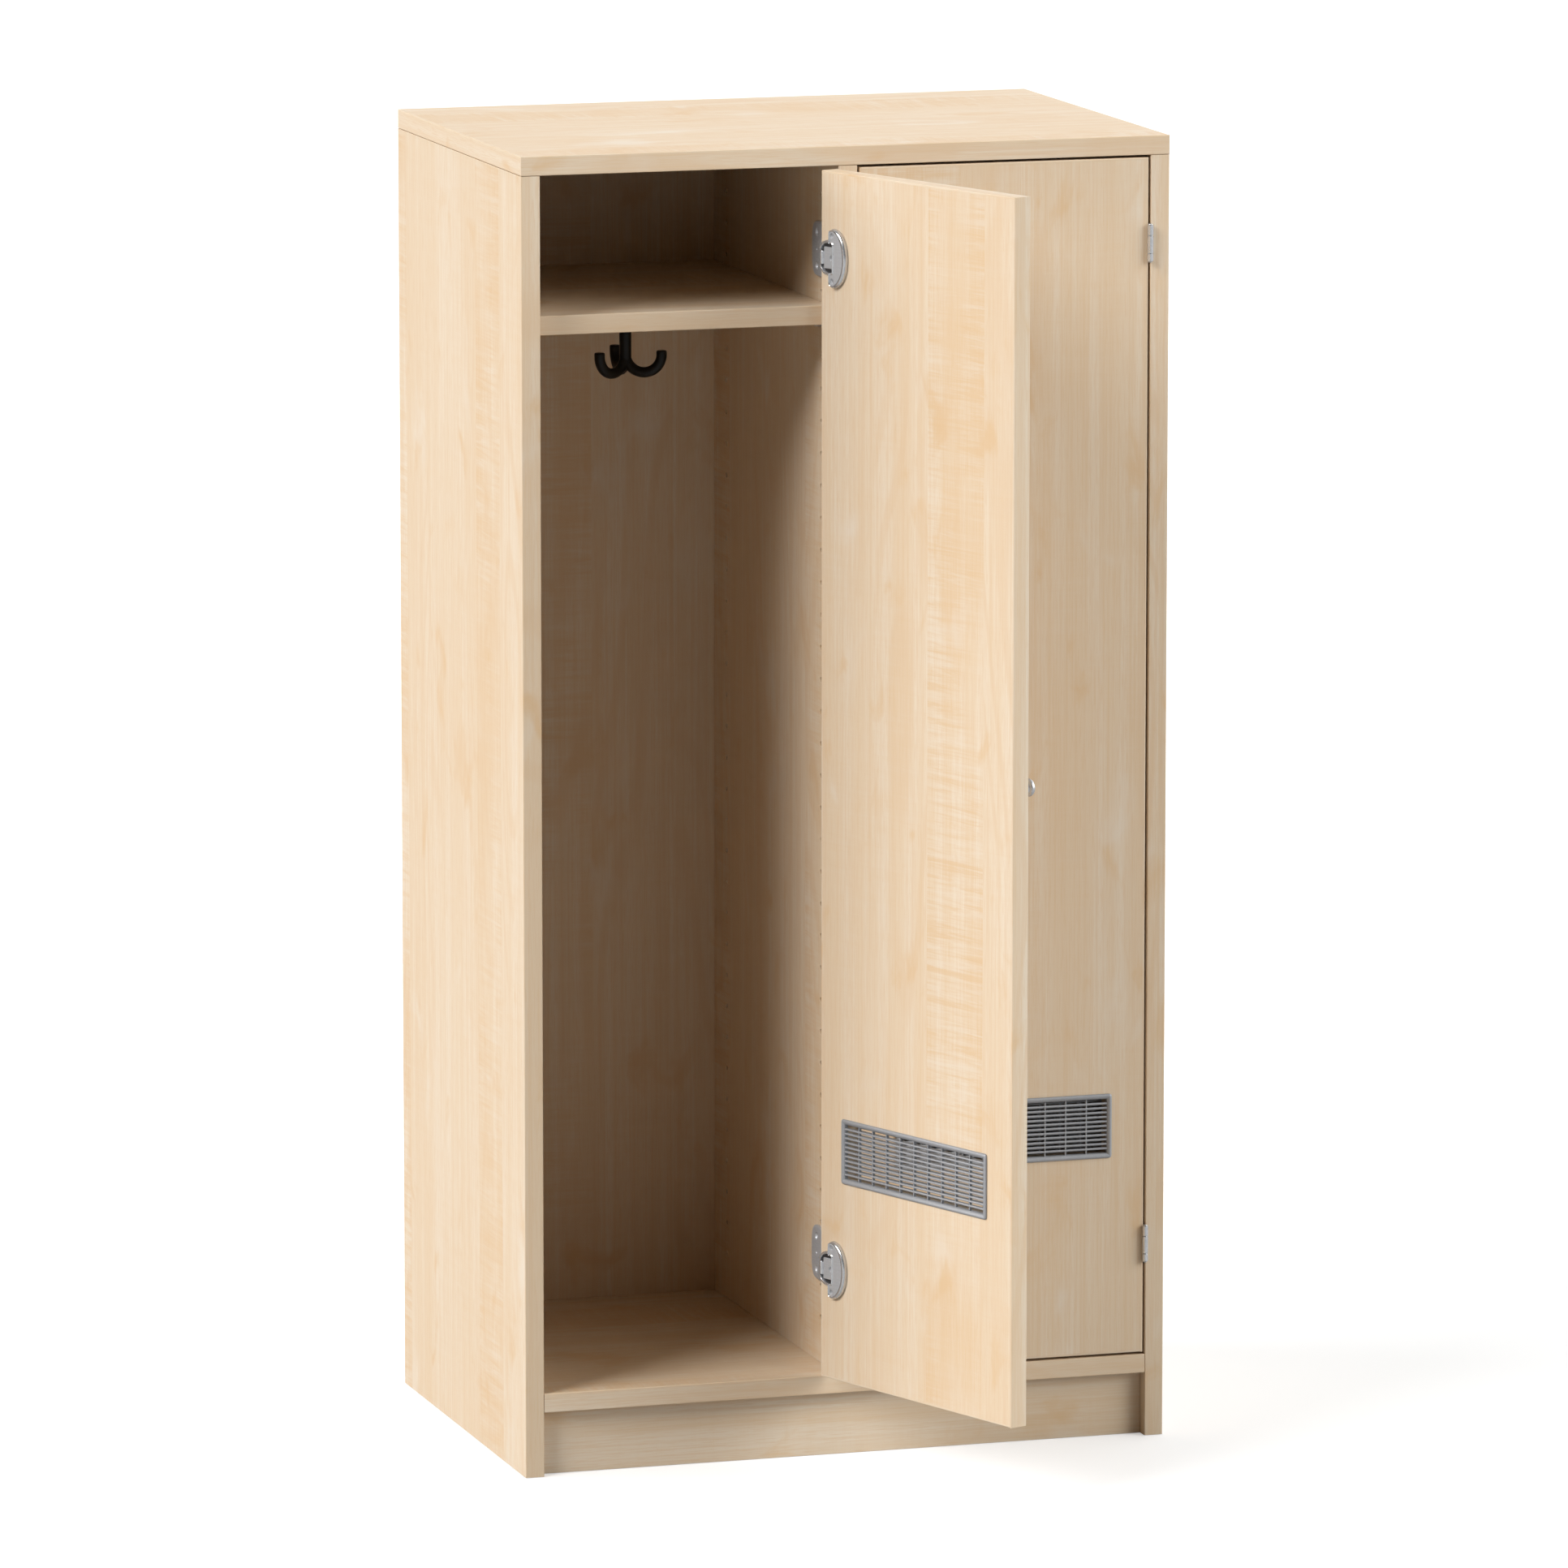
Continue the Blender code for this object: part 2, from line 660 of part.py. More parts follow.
# Vent grilles: a flange on the face of the door and a ribbed sleeve in its opening
opening_x, opening_z = VENT_OPENING
sleeve_x, sleeve_z = opening_x / 2 - 0.5 * MM, opening_z / 2 - 0.5 * MM
cell = (2 * sleeve_x - VENT_RIB) / VENT_COLUMNS
columns = [
    box(
        (-sleeve_x + VENT_RIB + i * cell, -VENT_FLANGE - MM, -sleeve_z + VENT_RIB),
        (-sleeve_x + (i + 1) * cell, VENT_SLEEVE + MM, sleeve_z - VENT_RIB),
    )
    for i in range(VENT_COLUMNS)
]
outer_grille = carve(
    box((-VENT_WIDTH / 2, -VENT_FLANGE, -VENT_HEIGHT / 2), (VENT_WIDTH / 2, 0, VENT_HEIGHT / 2)),
    added=[box((-sleeve_x, -MM, -sleeve_z), (sleeve_x, VENT_SLEEVE, sleeve_z))],
    cut=columns,
)
inner_grille = outer_grille.copy()
inner_grille.transform(Matrix.Rotation(pi, 4, "Z"))

# Knobs: turned, with a spigot pressed into the door
knob_foot = KNOB_RADIUS - 1.5 * MM
knob_waist = KNOB_RADIUS - 4 * MM
knob_profile = [
    (0, KNOB_REACH),
    (KNOB_RADIUS - 2 * MM, KNOB_REACH - GAP),
    (KNOB_RADIUS, KNOB_REACH - 2.2 * MM),
    (KNOB_RADIUS, KNOB_REACH - 7 * MM),
    (knob_waist + 0.5 * MM, KNOB_REACH - 12 * MM),
    (knob_waist, 5 * MM),
    (knob_foot, 1.5 * MM),
    (knob_foot, GAP),
    (KNOB_SPIGOT_RADIUS, GAP),
    (KNOB_SPIGOT_RADIUS, -KNOB_SPIGOT_LENGTH),
    (0, -KNOB_SPIGOT_LENGTH),
]
knob = turned(knob_profile, 20)
knob.transform(TURN_TO_MINUS_Y)

# Doors, each in its pivot's frame, so that the two are alike
vent_hole = box(
    (-VENT_CENTRE - opening_x / 2, 0, VENT_Z - opening_z / 2),
    (-VENT_CENTRE + opening_x / 2, INNER_FACE + MM, VENT_Z + opening_z / 2),
)
knob_hole = rod(
    KNOB_SPIGOT_RADIUS + GAP,
    KNOB_SPIGOT_LENGTH + 1.5 * MM,
    at(-KNOB_FROM_PIVOT, OUTER_FACE - MM, KNOB_Z) @ TURN_TO_PLUS_Y,
)
door_screw_holes = [
    rod(SCREW_RADIUS + GAP, SCREW_THREAD_BORE, at(x, INNER_FACE + GAP, height + z) @ TURN_TO_MINUS_Y)
    for height in HINGE_HEIGHTS.values()
    for x, z in cover_screw_spots
]
door = carve(
    box((-DOOR_GAP / 2 - DOOR_WIDTH, OUTER_FACE, DOOR_LOW), (-DOOR_GAP / 2, INNER_FACE, DOOR_HIGH), BREAK),
    cut=[vent_hole, knob_hole, *door_screw_holes],
)
for bay, pivot_x in PIVOTS.items():
    axis = (pivot_x, PIVOT_Y, 0)
    hinge_line = pivot(f"{bay}_door_axis", axis, LEFT_DOOR_OPEN if bay == "left" else 0.0)
    place(f"{bay}_door_panel", door, MAPLE, parent=hinge_line)
    vent_spot = Vector((-VENT_CENTRE, 0, VENT_Z))
    outer_spot = vent_spot + Vector((0, OUTER_FACE - GAP, 0))
    inner_spot = vent_spot + Vector((0, INNER_FACE + GAP, 0))
    place(f"{bay}_outer_grille", outer_grille, GREY_PLASTIC, outer_spot, hinge_line)
    place(f"{bay}_inner_grille", inner_grille, GREY_PLASTIC, inner_spot, hinge_line)
    place(f"{bay}_knob", knob, NICKEL, (-KNOB_FROM_PIVOT, OUTER_FACE, KNOB_Z), hinge_line)
    for level, height in HINGE_HEIGHTS.items():
        spot = (pivot_x, PIVOT_Y, height)
        place(f"{bay}_{level}_frame_leaf", frame_leaf, NICKEL, spot)
        place(f"{bay}_{level}_hinge_pin", hinge_pin, NICKEL, spot)
        place(f"{bay}_{level}_door_leaf", door_leaf, NICKEL, (0, 0, height), hinge_line)
        for number, (y, z) in enumerate(frame_screw_spots, 1):
            screw_spot = (pivot_x + frame_screw_top, PIVOT_Y + y, height + z)
            place(f"{bay}_{level}_frame_screw_{number}", frame_screw, NICKEL, screw_spot)
        for number, (x, z) in enumerate(cover_screw_spots, 1):
            screw_spot = (x, cover_screw_top, height + z)
            place(f"{bay}_{level}_door_screw_{number}", door_screw, NICKEL, screw_spot, hinge_line)

for piece in parts.objects:
    if piece.type == "MESH":
        piece.data.shade_smooth()
        piece.data.set_sharp_from_angle(angle=radians(32))
bpy.data.collections.remove(workbench)
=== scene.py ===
from math import cos, pi, radians, sin

import bmesh
import bpy
import numpy as np
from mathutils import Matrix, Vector


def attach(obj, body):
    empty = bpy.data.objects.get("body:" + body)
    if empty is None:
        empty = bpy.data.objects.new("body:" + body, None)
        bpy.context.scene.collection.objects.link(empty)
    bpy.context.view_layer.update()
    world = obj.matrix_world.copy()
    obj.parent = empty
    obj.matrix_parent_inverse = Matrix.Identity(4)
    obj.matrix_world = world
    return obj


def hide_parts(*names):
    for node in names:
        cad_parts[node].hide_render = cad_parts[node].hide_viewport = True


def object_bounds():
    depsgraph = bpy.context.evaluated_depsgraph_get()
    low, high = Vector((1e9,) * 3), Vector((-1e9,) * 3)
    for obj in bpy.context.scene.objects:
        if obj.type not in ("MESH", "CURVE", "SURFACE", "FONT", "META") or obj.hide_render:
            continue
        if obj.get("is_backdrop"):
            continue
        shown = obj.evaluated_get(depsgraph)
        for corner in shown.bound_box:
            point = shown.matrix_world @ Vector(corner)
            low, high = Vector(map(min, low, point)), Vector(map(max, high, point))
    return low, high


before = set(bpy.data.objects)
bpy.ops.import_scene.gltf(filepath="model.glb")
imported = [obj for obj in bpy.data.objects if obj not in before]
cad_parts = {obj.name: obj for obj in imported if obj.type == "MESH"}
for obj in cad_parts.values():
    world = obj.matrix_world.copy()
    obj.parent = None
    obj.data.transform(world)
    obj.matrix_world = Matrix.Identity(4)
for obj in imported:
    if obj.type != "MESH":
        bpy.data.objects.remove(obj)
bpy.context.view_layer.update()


# Uprights: two side panels and the divider, of 19 mm board faced with maple melamine. Both
# faces of the bays carry rows of 5 mm holes every 32 mm, and the sides have a groove for the back.
MM = 0.001
GAP = 0.3 * MM
BOARD = 19 * MM
WIDTH = 660 * MM
FRONT = -22.5 * MM
REAR = 427.5 * MM
INNER = WIDTH / 2 - BOARD
BACK_Y = 398 * MM
BACK_BOARD = 8 * MM
GROOVE = 6 * MM
PLINTH = 64 * MM
FLOOR_TOP = 83 * MM
TOP_UNDER = 1283 * MM
HEIGHT = 1302 * MM
BAND = 2 * MM               # thickness of the edge bands
HOLE_PITCH = 32 * MM
HOLE_ROWS = (FRONT + 57 * MM, FRONT + 377 * MM)
FIRST_HOLE = 129.5 * MM
HOLES_IN_ROW = 36
HOLE_RADIUS = 2.5 * MM
ARRIS = 0.15 * MM           # how much the boards' edges are broken
WELD = 0.002 * MM           # points closer than this are one point
SHARP = radians(38)         # steeper edges stay sharp
STRIPS_PER_METRE = 11.7
LEAST_FIGURED = 0.14        # share of ripple on the plainer strips
SEED_STEP = np.array([0.37, 1.91, 0.73])
UNMOVED = (0.0, (0.0, 0.0, 0.0))


def node(tree, kind, inputs=(), **settings):
    """A shader node with its settings, and its inputs set or linked by name or number."""
    made = tree.nodes.new(kind)
    for key, value in settings.items():
        setattr(made, key, value)
    for socket, value in dict(inputs).items():
        if isinstance(value, bpy.types.NodeSocket):
            tree.links.new(value, made.inputs[socket])
        else:
            made.inputs[socket].default_value = value
    return made


def colour(red, green, blue):
    """A colour given on the 0 to 255 display scale, as the linear one that shaders take."""
    display = np.array([red, green, blue]) / 255
    linear = np.where(display < 0.04045, display / 12.92, ((display + 0.055) / 1.055) ** 2.4)
    return (*linear.tolist(), 1.0)


def new_material(name, **sockets):
    """A material, its node tree and its Principled shader, with constant sockets set on the shader."""
    material = bpy.data.materials.new(name)
    material.use_nodes = True
    tree = material.node_tree
    shader = tree.nodes["Principled BSDF"]
    for socket, value in sockets.items():
        shader.inputs[socket.replace("_", " ")].default_value = value
    return material, tree, shader


def stretched(tree, scale, shift=(0.0, 0.0, 0.0)):
    """The piece's own coordinates from its attribute, stretched to the grain."""
    own = node(tree, "ShaderNodeAttribute", attribute_name="grain").outputs["Vector"]
    made = node(tree, "ShaderNodeMapping", {"Vector": own, "Scale": scale, "Location": shift})
    return made.outputs["Vector"]


def cloud(tree, vector, detail=2.0, roughness=0.5, distortion=0.0):
    """Noise of unit size in stretched coordinates, about 0.5."""
    grit = {"Detail": detail, "Roughness": roughness, "Distortion": distortion}
    made = node(tree, "ShaderNodeTexNoise", {"Vector": vector, "Scale": 1.0, **grit})
    return made.outputs["Fac"]


def between(tree, value, low, high, to_low=0.0, to_high=1.0):
    """A value's smooth step from low to high."""
    limits = {"From Min": low, "From Max": high, "To Min": to_low, "To Max": to_high}
    made = node(tree, "ShaderNodeMapRange", {"Value": value, **limits}, interpolation_type="SMOOTHSTEP")
    return made.outputs["Result"]


def combine(tree, operation, first, second):
    """Two values joined by an arithmetic step."""
    return node(tree, "ShaderNodeMath", {0: first, 1: second}, operation=operation).outputs[0]


def tinted(tree, share, under, over):
    """Two colours mixed by a share."""
    made = node(tree, "ShaderNodeMix", {0: share, 6: under, 7: over}, data_type="RGBA")
    return made.outputs[2]


def surfaced(tree, shader, tone, gloss, height, strength, distance):
    """A shader given its colour, its roughness and its bump."""
    tree.links.new(tone, shader.inputs["Base Color"])
    tree.links.new(gloss, shader.inputs["Roughness"])
    bump = node(tree, "ShaderNodeBump", {"Height": height, "Strength": strength, "Distance": distance})
    tree.links.new(bump.outputs["Normal"], shader.inputs["Normal"])


def maple_board(name, most_figured):
    """Maple melamine. The print is laid up from strips of about 85 mm, each a little paler or warmer,
    and one in four of them figured. Over it go soft streaks and fine fibres along the grain, arched
    growth lines, ripples across the grain in patches, and warm blots with feathered edges."""
    material, tree, shader = new_material(name, Roughness=0.46, IOR=1.47, Specular_IOR_Level=0.3)
    own = stretched(tree, (1.0, 1.0, 1.0))
    axes = node(tree, "ShaderNodeSeparateXYZ", {"Vector": own})
    across = axes.outputs["X"]
    strip = combine(tree, "FLOOR", combine(tree, "MULTIPLY", across, STRIPS_PER_METRE), 0.0)
    drawn_from = combine(tree, "ADD", strip, 0.31)
    chance = node(tree, "ShaderNodeTexWhiteNoise", {"W": drawn_from}, noise_dimensions="1D")
    draws = node(tree, "ShaderNodeSeparateXYZ", {"Vector": chance.outputs["Color"]})
    jump = {0: own, 1: chance.outputs["Color"]}
    jumped = node(tree, "ShaderNodeVectorMath", jump, operation="ADD").outputs[0]

    def on_strip(scale):
        """Coordinates that start afresh on each strip."""
        return node(tree, "ShaderNodeMapping", {"Vector": jumped, "Scale": scale}).outputs["Vector"]

    wander = cloud(tree, stretched(tree, (7.0, 1.6, 7.0)), 2.0)
    streaks = cloud(tree, on_strip((60.0, 0.9, 60.0)), 3.0, 0.6, 0.2)
    lines = cloud(tree, stretched(tree, (330.0, 3.2, 330.0)), 3.0, 0.65, 0.1)
    fibres = cloud(tree, stretched(tree, (1100.0, 38.0, 1100.0)), 2.0, 0.6)
    arch = cloud(tree, on_strip((6.0, 1.25, 6.0)), 1.0, 0.4)
    bend = combine(tree, "MULTIPLY", arch, 95.0)
    phase = combine(tree, "ADD", combine(tree, "MULTIPLY", across, 130.0), bend)
    rings = between(tree, combine(tree, "SINE", phase, 0.0), 0.2, 1.0)
    arch_patch = between(tree, cloud(tree, on_strip((7.0, 1.4, 7.0)), 1.0), 0.46, 0.62)
    rings = combine(tree, "MULTIPLY", rings, arch_patch)
    waves = cloud(tree, on_strip((9.0, 150.0, 9.0)), 4.0, 0.74, 0.5)
    ripples = between(tree, waves, 0.46, 0.66)
    crests = between(tree, waves, 0.50, 0.32)
    ripple_patch = between(tree, cloud(tree, on_strip((12.0, 4.5, 12.0)), 2.0, 0.6), 0.36, 0.62, 0.15, 1.0)
    glow = between(tree, cloud(tree, on_strip((9.0, 3.4, 9.0)), 2.0, 0.5), 0.44, 0.62)
    from_second = combine(tree, "ADD", combine(tree, "FLOORED_MODULO", strip, 4.0), -1.0)
    turn_of_four = combine(tree, "ABSOLUTE", from_second, 0.0)
    figured = between(tree, turn_of_four, 0.2, 0.8, most_figured, min(LEAST_FIGURED, most_figured))
    figure = combine(tree, "MULTIPLY", ripple_patch, figured)
    ripples = combine(tree, "MULTIPLY", ripples, figure)
    crests = combine(tree, "MULTIPLY", crests, figure)
    glow = combine(tree, "MULTIPLY", glow, figured)
    blots = between(tree, cloud(tree, stretched(tree, (21.0, 11.0, 21.0)), 4.0, 0.5, 0.6), 0.58, 0.76)
    elsewhere = stretched(tree, (17.0, 7.0, 17.0), (5.2, 9.1, 3.3))
    pale_blots = between(tree, cloud(tree, elsewhere, 3.0, 0.5, 0.5), 0.60, 0.80)

    tone = tinted(tree, between(tree, draws.outputs["X"], 0.0, 1.0), MAPLE_PALE, MAPLE_WARM)
    for value, low, high, most, over in (
        (wander, 0.35, 0.65, 0.55, MAPLE_MIDDLE), (streaks, 0.42, 0.62, 0.80, MAPLE_WARM),
        (streaks, 0.52, 0.36, 0.75, MAPLE_PALE), (lines, 0.45, 0.66, 0.60, MAPLE_HONEY),
        (fibres, 0.47, 0.68, 0.62, MAPLE_HONEY),
    ):
        tone = tinted(tree, between(tree, value, low, high, 0.0, most), tone, over)
    for share, strength, over in (
        (rings, 0.55, MAPLE_HONEY), (pale_blots, 0.75, MAPLE_LIGHT), (glow, 0.45, MAPLE_BLOT),
        (crests, 0.42, MAPLE_LIGHT), (ripples, 0.62, MAPLE_BLOT), (blots, 0.80, MAPLE_BLOT),
    ):
        tone = tinted(tree, combine(tree, "MULTIPLY", share, strength), tone, over)
    surfaced(tree, shader, tone, between(tree, fibres, 0.3, 0.7, 0.42, 0.54), fibres, 0.10, 0.0002)
    return material


MAPLE_LIGHT = colour(215, 203, 187)
MAPLE_PALE = colour(214, 198, 177)
MAPLE_MIDDLE = colour(211, 192, 168)
MAPLE_WARM = colour(210, 188, 160)
MAPLE_HONEY = colour(207, 180, 148)
MAPLE_BLOT = colour(205, 173, 134)
MAPLE = maple_board("maple_melamine", 1.0)
MAPLE_EDGING = maple_board("maple_edging", 0.05)


def make_piece(
    name, body, finishes, shells, stands_for=(), pose=UNMOVED, grain=(0, 1, 2), seed=0.0
):
    """One piece from shells of (points, arrays of faces, number of the finish). Points that meet are
    welded. Its coordinates before its pose, in the order of grain (across, along, through) and
    shifted by seed, are kept as an attribute for the materials. The pose turns it about Z."""
    starts = np.cumsum([0] + [len(shell[0]) for shell in shells])
    points = np.concatenate([shell[0] for shell in shells])
    faces, marks = [], []
    for start, (_, groups, finish) in zip(starts, shells):
        for group in groups:
            faces += (np.asarray(group) + start).tolist()
            marks += [finish] * len(group)
    mesh = bpy.data.meshes.new(name)
    mesh.from_pydata(points.tolist(), [], faces)
    mesh.polygons.foreach_set("material_index", marks)
    bm = bmesh.new()
    bm.from_mesh(mesh)
    bmesh.ops.remove_doubles(bm, verts=bm.verts, dist=WELD)
    bmesh.ops.recalc_face_normals(bm, faces=bm.faces)
    bm.to_mesh(mesh)
    bm.free()
    own = np.zeros(3 * len(mesh.vertices))
    mesh.vertices.foreach_get("co", own)
    own = own.reshape(-1, 3)
    lie = own[:, list(grain)] + SEED_STEP * seed
    kept = mesh.attributes.new("grain", "FLOAT_VECTOR", "POINT")
    kept.data.foreach_set("vector", lie.astype(np.float32).ravel())
    turn, place = pose
    spin = np.array([[cos(turn), sin(turn), 0], [-sin(turn), cos(turn), 0], [0, 0, 1]])
    mesh.vertices.foreach_set("co", (own @ spin + np.array(place)).astype(np.float32).ravel())
    mesh.shade_smooth()
    mesh.set_sharp_from_angle(angle=SHARP)
    for finish in finishes:
        mesh.materials.append(finish)
    piece = bpy.data.objects.new(name, mesh)
    bpy.context.scene.collection.objects.link(piece)
    weighting = piece.modifiers.new("even_shading", "WEIGHTED_NORMAL")
    weighting.keep_sharp = True
    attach(piece, body)
    if stands_for:
        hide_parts(*stands_for)
    return piece


def quads(rows, columns):
    """The faces of a grid of points numbered row by row, each row a closed loop."""
    row, column = np.meshgrid(np.arange(rows - 1), np.arange(columns), indexing="ij")
    after = (column + 1) % columns
    corners = [row * columns + column, row * columns + after]
    corners += [(row + 1) * columns + after, (row + 1) * columns + column]
    return np.stack(corners, -1).reshape(-1, 4)


def skin(points, finish=0, ends=(True, True)):
    """A shell over a grid of points whose rows are closed loops, its ends closed by flat faces."""
    rows, columns = points.shape[:2]
    groups = [quads(rows, columns)]
    if ends[0]:
        groups.append(np.arange(columns)[None])
    if ends[1]:
        groups.append(np.arange(columns)[None] + (rows - 1) * columns)
    return points.reshape(-1, 3), groups, finish


def rounded_outline(low, high, radius, steps=3):
    """A rectangle with round corners: each corner's centre plus the radius at angles over its quarter."""
    quarter = np.linspace(0, pi / 2, steps + 1)
    angle = np.concatenate([quarter + k * pi / 2 for k in range(4)])
    side = np.repeat([[1, 1], [-1, 1], [-1, -1], [1, -1]], steps + 1, axis=0)
    low, high = np.array(low), np.array(high)
    centre = (low + high) / 2
    outward = np.stack([np.cos(angle), np.sin(angle)], -1)
    return centre + side * ((high - low) / 2 - radius) + radius * outward


def carried(profile, starts, axis):
    """A flat profile carried straight along an axis through each of the starts, the other two
    coordinates in their cyclic order."""
    points = np.zeros((len(starts), len(profile), 3))
    points[:, :, axis] = np.array(starts)[:, None]
    points[:, :, (axis + 1) % 3] = profile[:, 0]
    points[:, :, (axis + 2) % 3] = profile[:, 1]
    return points


def drilled_face(low, high, plane, inward):
    """A board face in Y and Z with both rows of holes. Each hole is a ring of points, joined to its
    cell's corners by four flat faces, with a broken edge and a conical bottom. Strips close the rest."""
    arc = 24
    levels = FIRST_HOLE + HOLE_PITCH * (np.arange(HOLES_IN_ROW + 1) - 0.5)
    half = 10 * MM
    across = np.array([[row - half, row + half] for row in HOLE_ROWS])
    sides = np.stack(np.broadcast_arrays(plane, across[:, :, None], levels), -1).reshape(-1, 3)
    angle = 2 * pi * np.arange(arc) / arc
    steps = np.array([[0.25, 0.0], [0.0, 0.25], [0.0, 9.5], [-2.42, 10.5]]) * MM
    radius = HOLE_RADIUS + steps[:, 0]
    centre_y = np.array(HOLE_ROWS)[:, None, None, None]
    centre_z = (FIRST_HOLE + HOLE_PITCH * np.arange(HOLES_IN_ROW))[None, :, None, None]
    rings = np.stack(
        np.broadcast_arrays(
            plane + inward * steps[:, 1][None, None, :, None],
            centre_y + radius[:, None] * np.cos(angle),
            centre_z + radius[:, None] * np.sin(angle),
        ),
        -1,
    )
    corners = [(low[0], low[1]), (high[0], low[1]), (high[0], high[1]), (low[0], high[1])]
    rim = np.array([(plane, y, z) for y, z in corners])
    points = np.concatenate([rim, sides, rings.reshape(-1, 3)])
    count = HOLES_IN_ROW + 1
    side = 4 + np.arange(4 * count).reshape(2, 2, count)
    ring = np.arange(2 * HOLES_IN_ROW * len(steps) * arc)
    ring = ring.reshape(2, HOLES_IN_ROW, len(steps), arc) + 4 + 4 * count
    top = ring[:, :, 0]
    eighth, quarter = arc // 8, arc // 4
    cells = [side[:, 1, :-1], side[:, 1, 1:], side[:, 0, 1:], side[:, 0, :-1]]
    groups = []
    for k in range(4):
        turn = (np.arange(quarter, -1, -1) - eighth + k * quarter) % arc
        here, onward = cells[k][..., None], cells[(k + 1) % 4][..., None]
        groups.append(np.concatenate([here, onward, top[..., turn]], -1).reshape(-1, quarter + 3))
    inner = ring.reshape(2 * HOLES_IN_ROW, len(steps), arc)
    onward = np.roll(inner, -1, 2)
    walls = np.stack([inner[:, :-1], onward[:, :-1], onward[:, 1:], inner[:, 1:]], -1)
    groups += [
        walls.reshape(-1, 4),
        inner[:, -1],
        np.array([[0, 1, side[1, 1, 0], side[1, 0, 0], side[0, 1, 0], side[0, 0, 0]]]),
        np.array([[2, 3, side[0, 0, -1], side[0, 1, -1], side[1, 0, -1], side[1, 1, -1]]]),
        np.concatenate([[3, 0], side[0, 0]])[None],
        np.concatenate([side[0, 1], side[1, 0][::-1]])[None],
        np.concatenate([[1, 2], side[1, 1][::-1]])[None],
    ]
    return points, groups, 0


def upright(faces_x, span, drilled, groove):
    """An upright board: its outline in X and Y, with the groove if it has one, carried up between
    two heights. The drilled faces are left out of the walls and put in with their holes."""
    left, right = faces_x
    near, far = FRONT + BAND, REAR if groove else BACK_Y - GAP
    outline = [(right, near + ARRIS), (right, far - ARRIS), (right - ARRIS, far)]
    outline += [(left + ARRIS, far), (left, far - ARRIS), (left, near + ARRIS)]
    outline += [(left + ARRIS, near), (right - ARRIS, near)]
    if groove:
        lip, bottom = (right, right - GROOVE - GAP) if groove > 0 else (left, left + GROOVE + GAP)
        notch = [(lip, BACK_Y - GAP), (bottom, BACK_Y - GAP)]
        notch += [(bottom, BACK_Y + BACK_BOARD + GAP), (lip, BACK_Y + BACK_BOARD + GAP)]
        place = 1 if groove > 0 else 5
        outline[place:place] = notch if groove > 0 else notch[::-1]
    profile = np.array(outline)
    points, groups, finish = skin(carried(profile, span, 2))
    walls = groups[0]
    shells = []
    reach = BACK_Y - GAP if groove else far - ARRIS
    for side in drilled:
        plane = right if side > 0 else left
        flat = (np.abs(points[walls][:, :, 0] - plane) < 1e-7).all(1)
        starts_at_front = np.abs(points[walls][:, :, 1] - near - ARRIS).min(1) < 1e-7
        walls = walls[~(flat & starts_at_front)]
        shells.append(drilled_face((near + ARRIS, span[0]), (reach, span[1]), plane, -side))
    shells.append((points, [walls, *groups[1:]], finish))
    return shells


def band(name, body, middle, length_axis, outward_axis, outward, span, seed, pose=UNMOVED):
    """An edge band: a strip as wide as the board, its outer edges rounded, carried along the edge.
    The middle is the board edge's centre line, on the two axes other than its length."""
    half = BOARD / 2
    radius = 0.9 * MM
    seam = 0.12 * MM
    arc = np.linspace(0, pi / 2, 4)
    right = np.stack([half - radius + radius * np.sin(arc), BAND - radius + radius * np.cos(arc)], -1)
    profile = np.concatenate([right, [[half, seam], [half - seam, 0]]])
    profile = np.concatenate([profile, profile[::-1] * [-1, 1]])
    through_axis = 3 - length_axis - outward_axis
    points = np.zeros((2, len(profile), 3))
    points[:, :, length_axis] = np.array(span)[:, None]
    points[:, :, through_axis] = middle[through_axis] + profile[:, 0]
    points[:, :, outward_axis] = middle[outward_axis] + outward * (profile[:, 1] - BAND)
    grain = (through_axis, length_axis, outward_axis)
    make_piece(name, body, [MAPLE_EDGING], [skin(points)], (), pose, grain, seed)


def board(name, shells, stands_for, grain, seed, body="carcass", pose=UNMOVED):
    """A piece of maple-faced board."""
    make_piece(name, body, [MAPLE], shells, (stands_for,), pose, grain, seed)


upright_span = (0.0, TOP_UNDER - GAP)
uprights = {
    "left_side_panel": ((-WIDTH / 2, -INNER), upright_span, [1], 1),
    "right_side_panel": ((INNER, WIDTH / 2), upright_span, [-1], -1),
    "divider_panel": ((-BOARD / 2, BOARD / 2), (FLOOR_TOP + GAP, TOP_UNDER - GAP), [1, -1], 0),
}
for seed, (name, (faces_x, span, drilled, groove)) in enumerate(uprights.items(), 1):
    board(f"{name}_board", upright(faces_x, span, drilled, groove), name, (1, 2, 0), seed)
    centre = (sum(faces_x) / 2, FRONT, 0)
    band(f"{name}_front_band", "carcass", centre, 2, 1, -1, span, seed + 20)


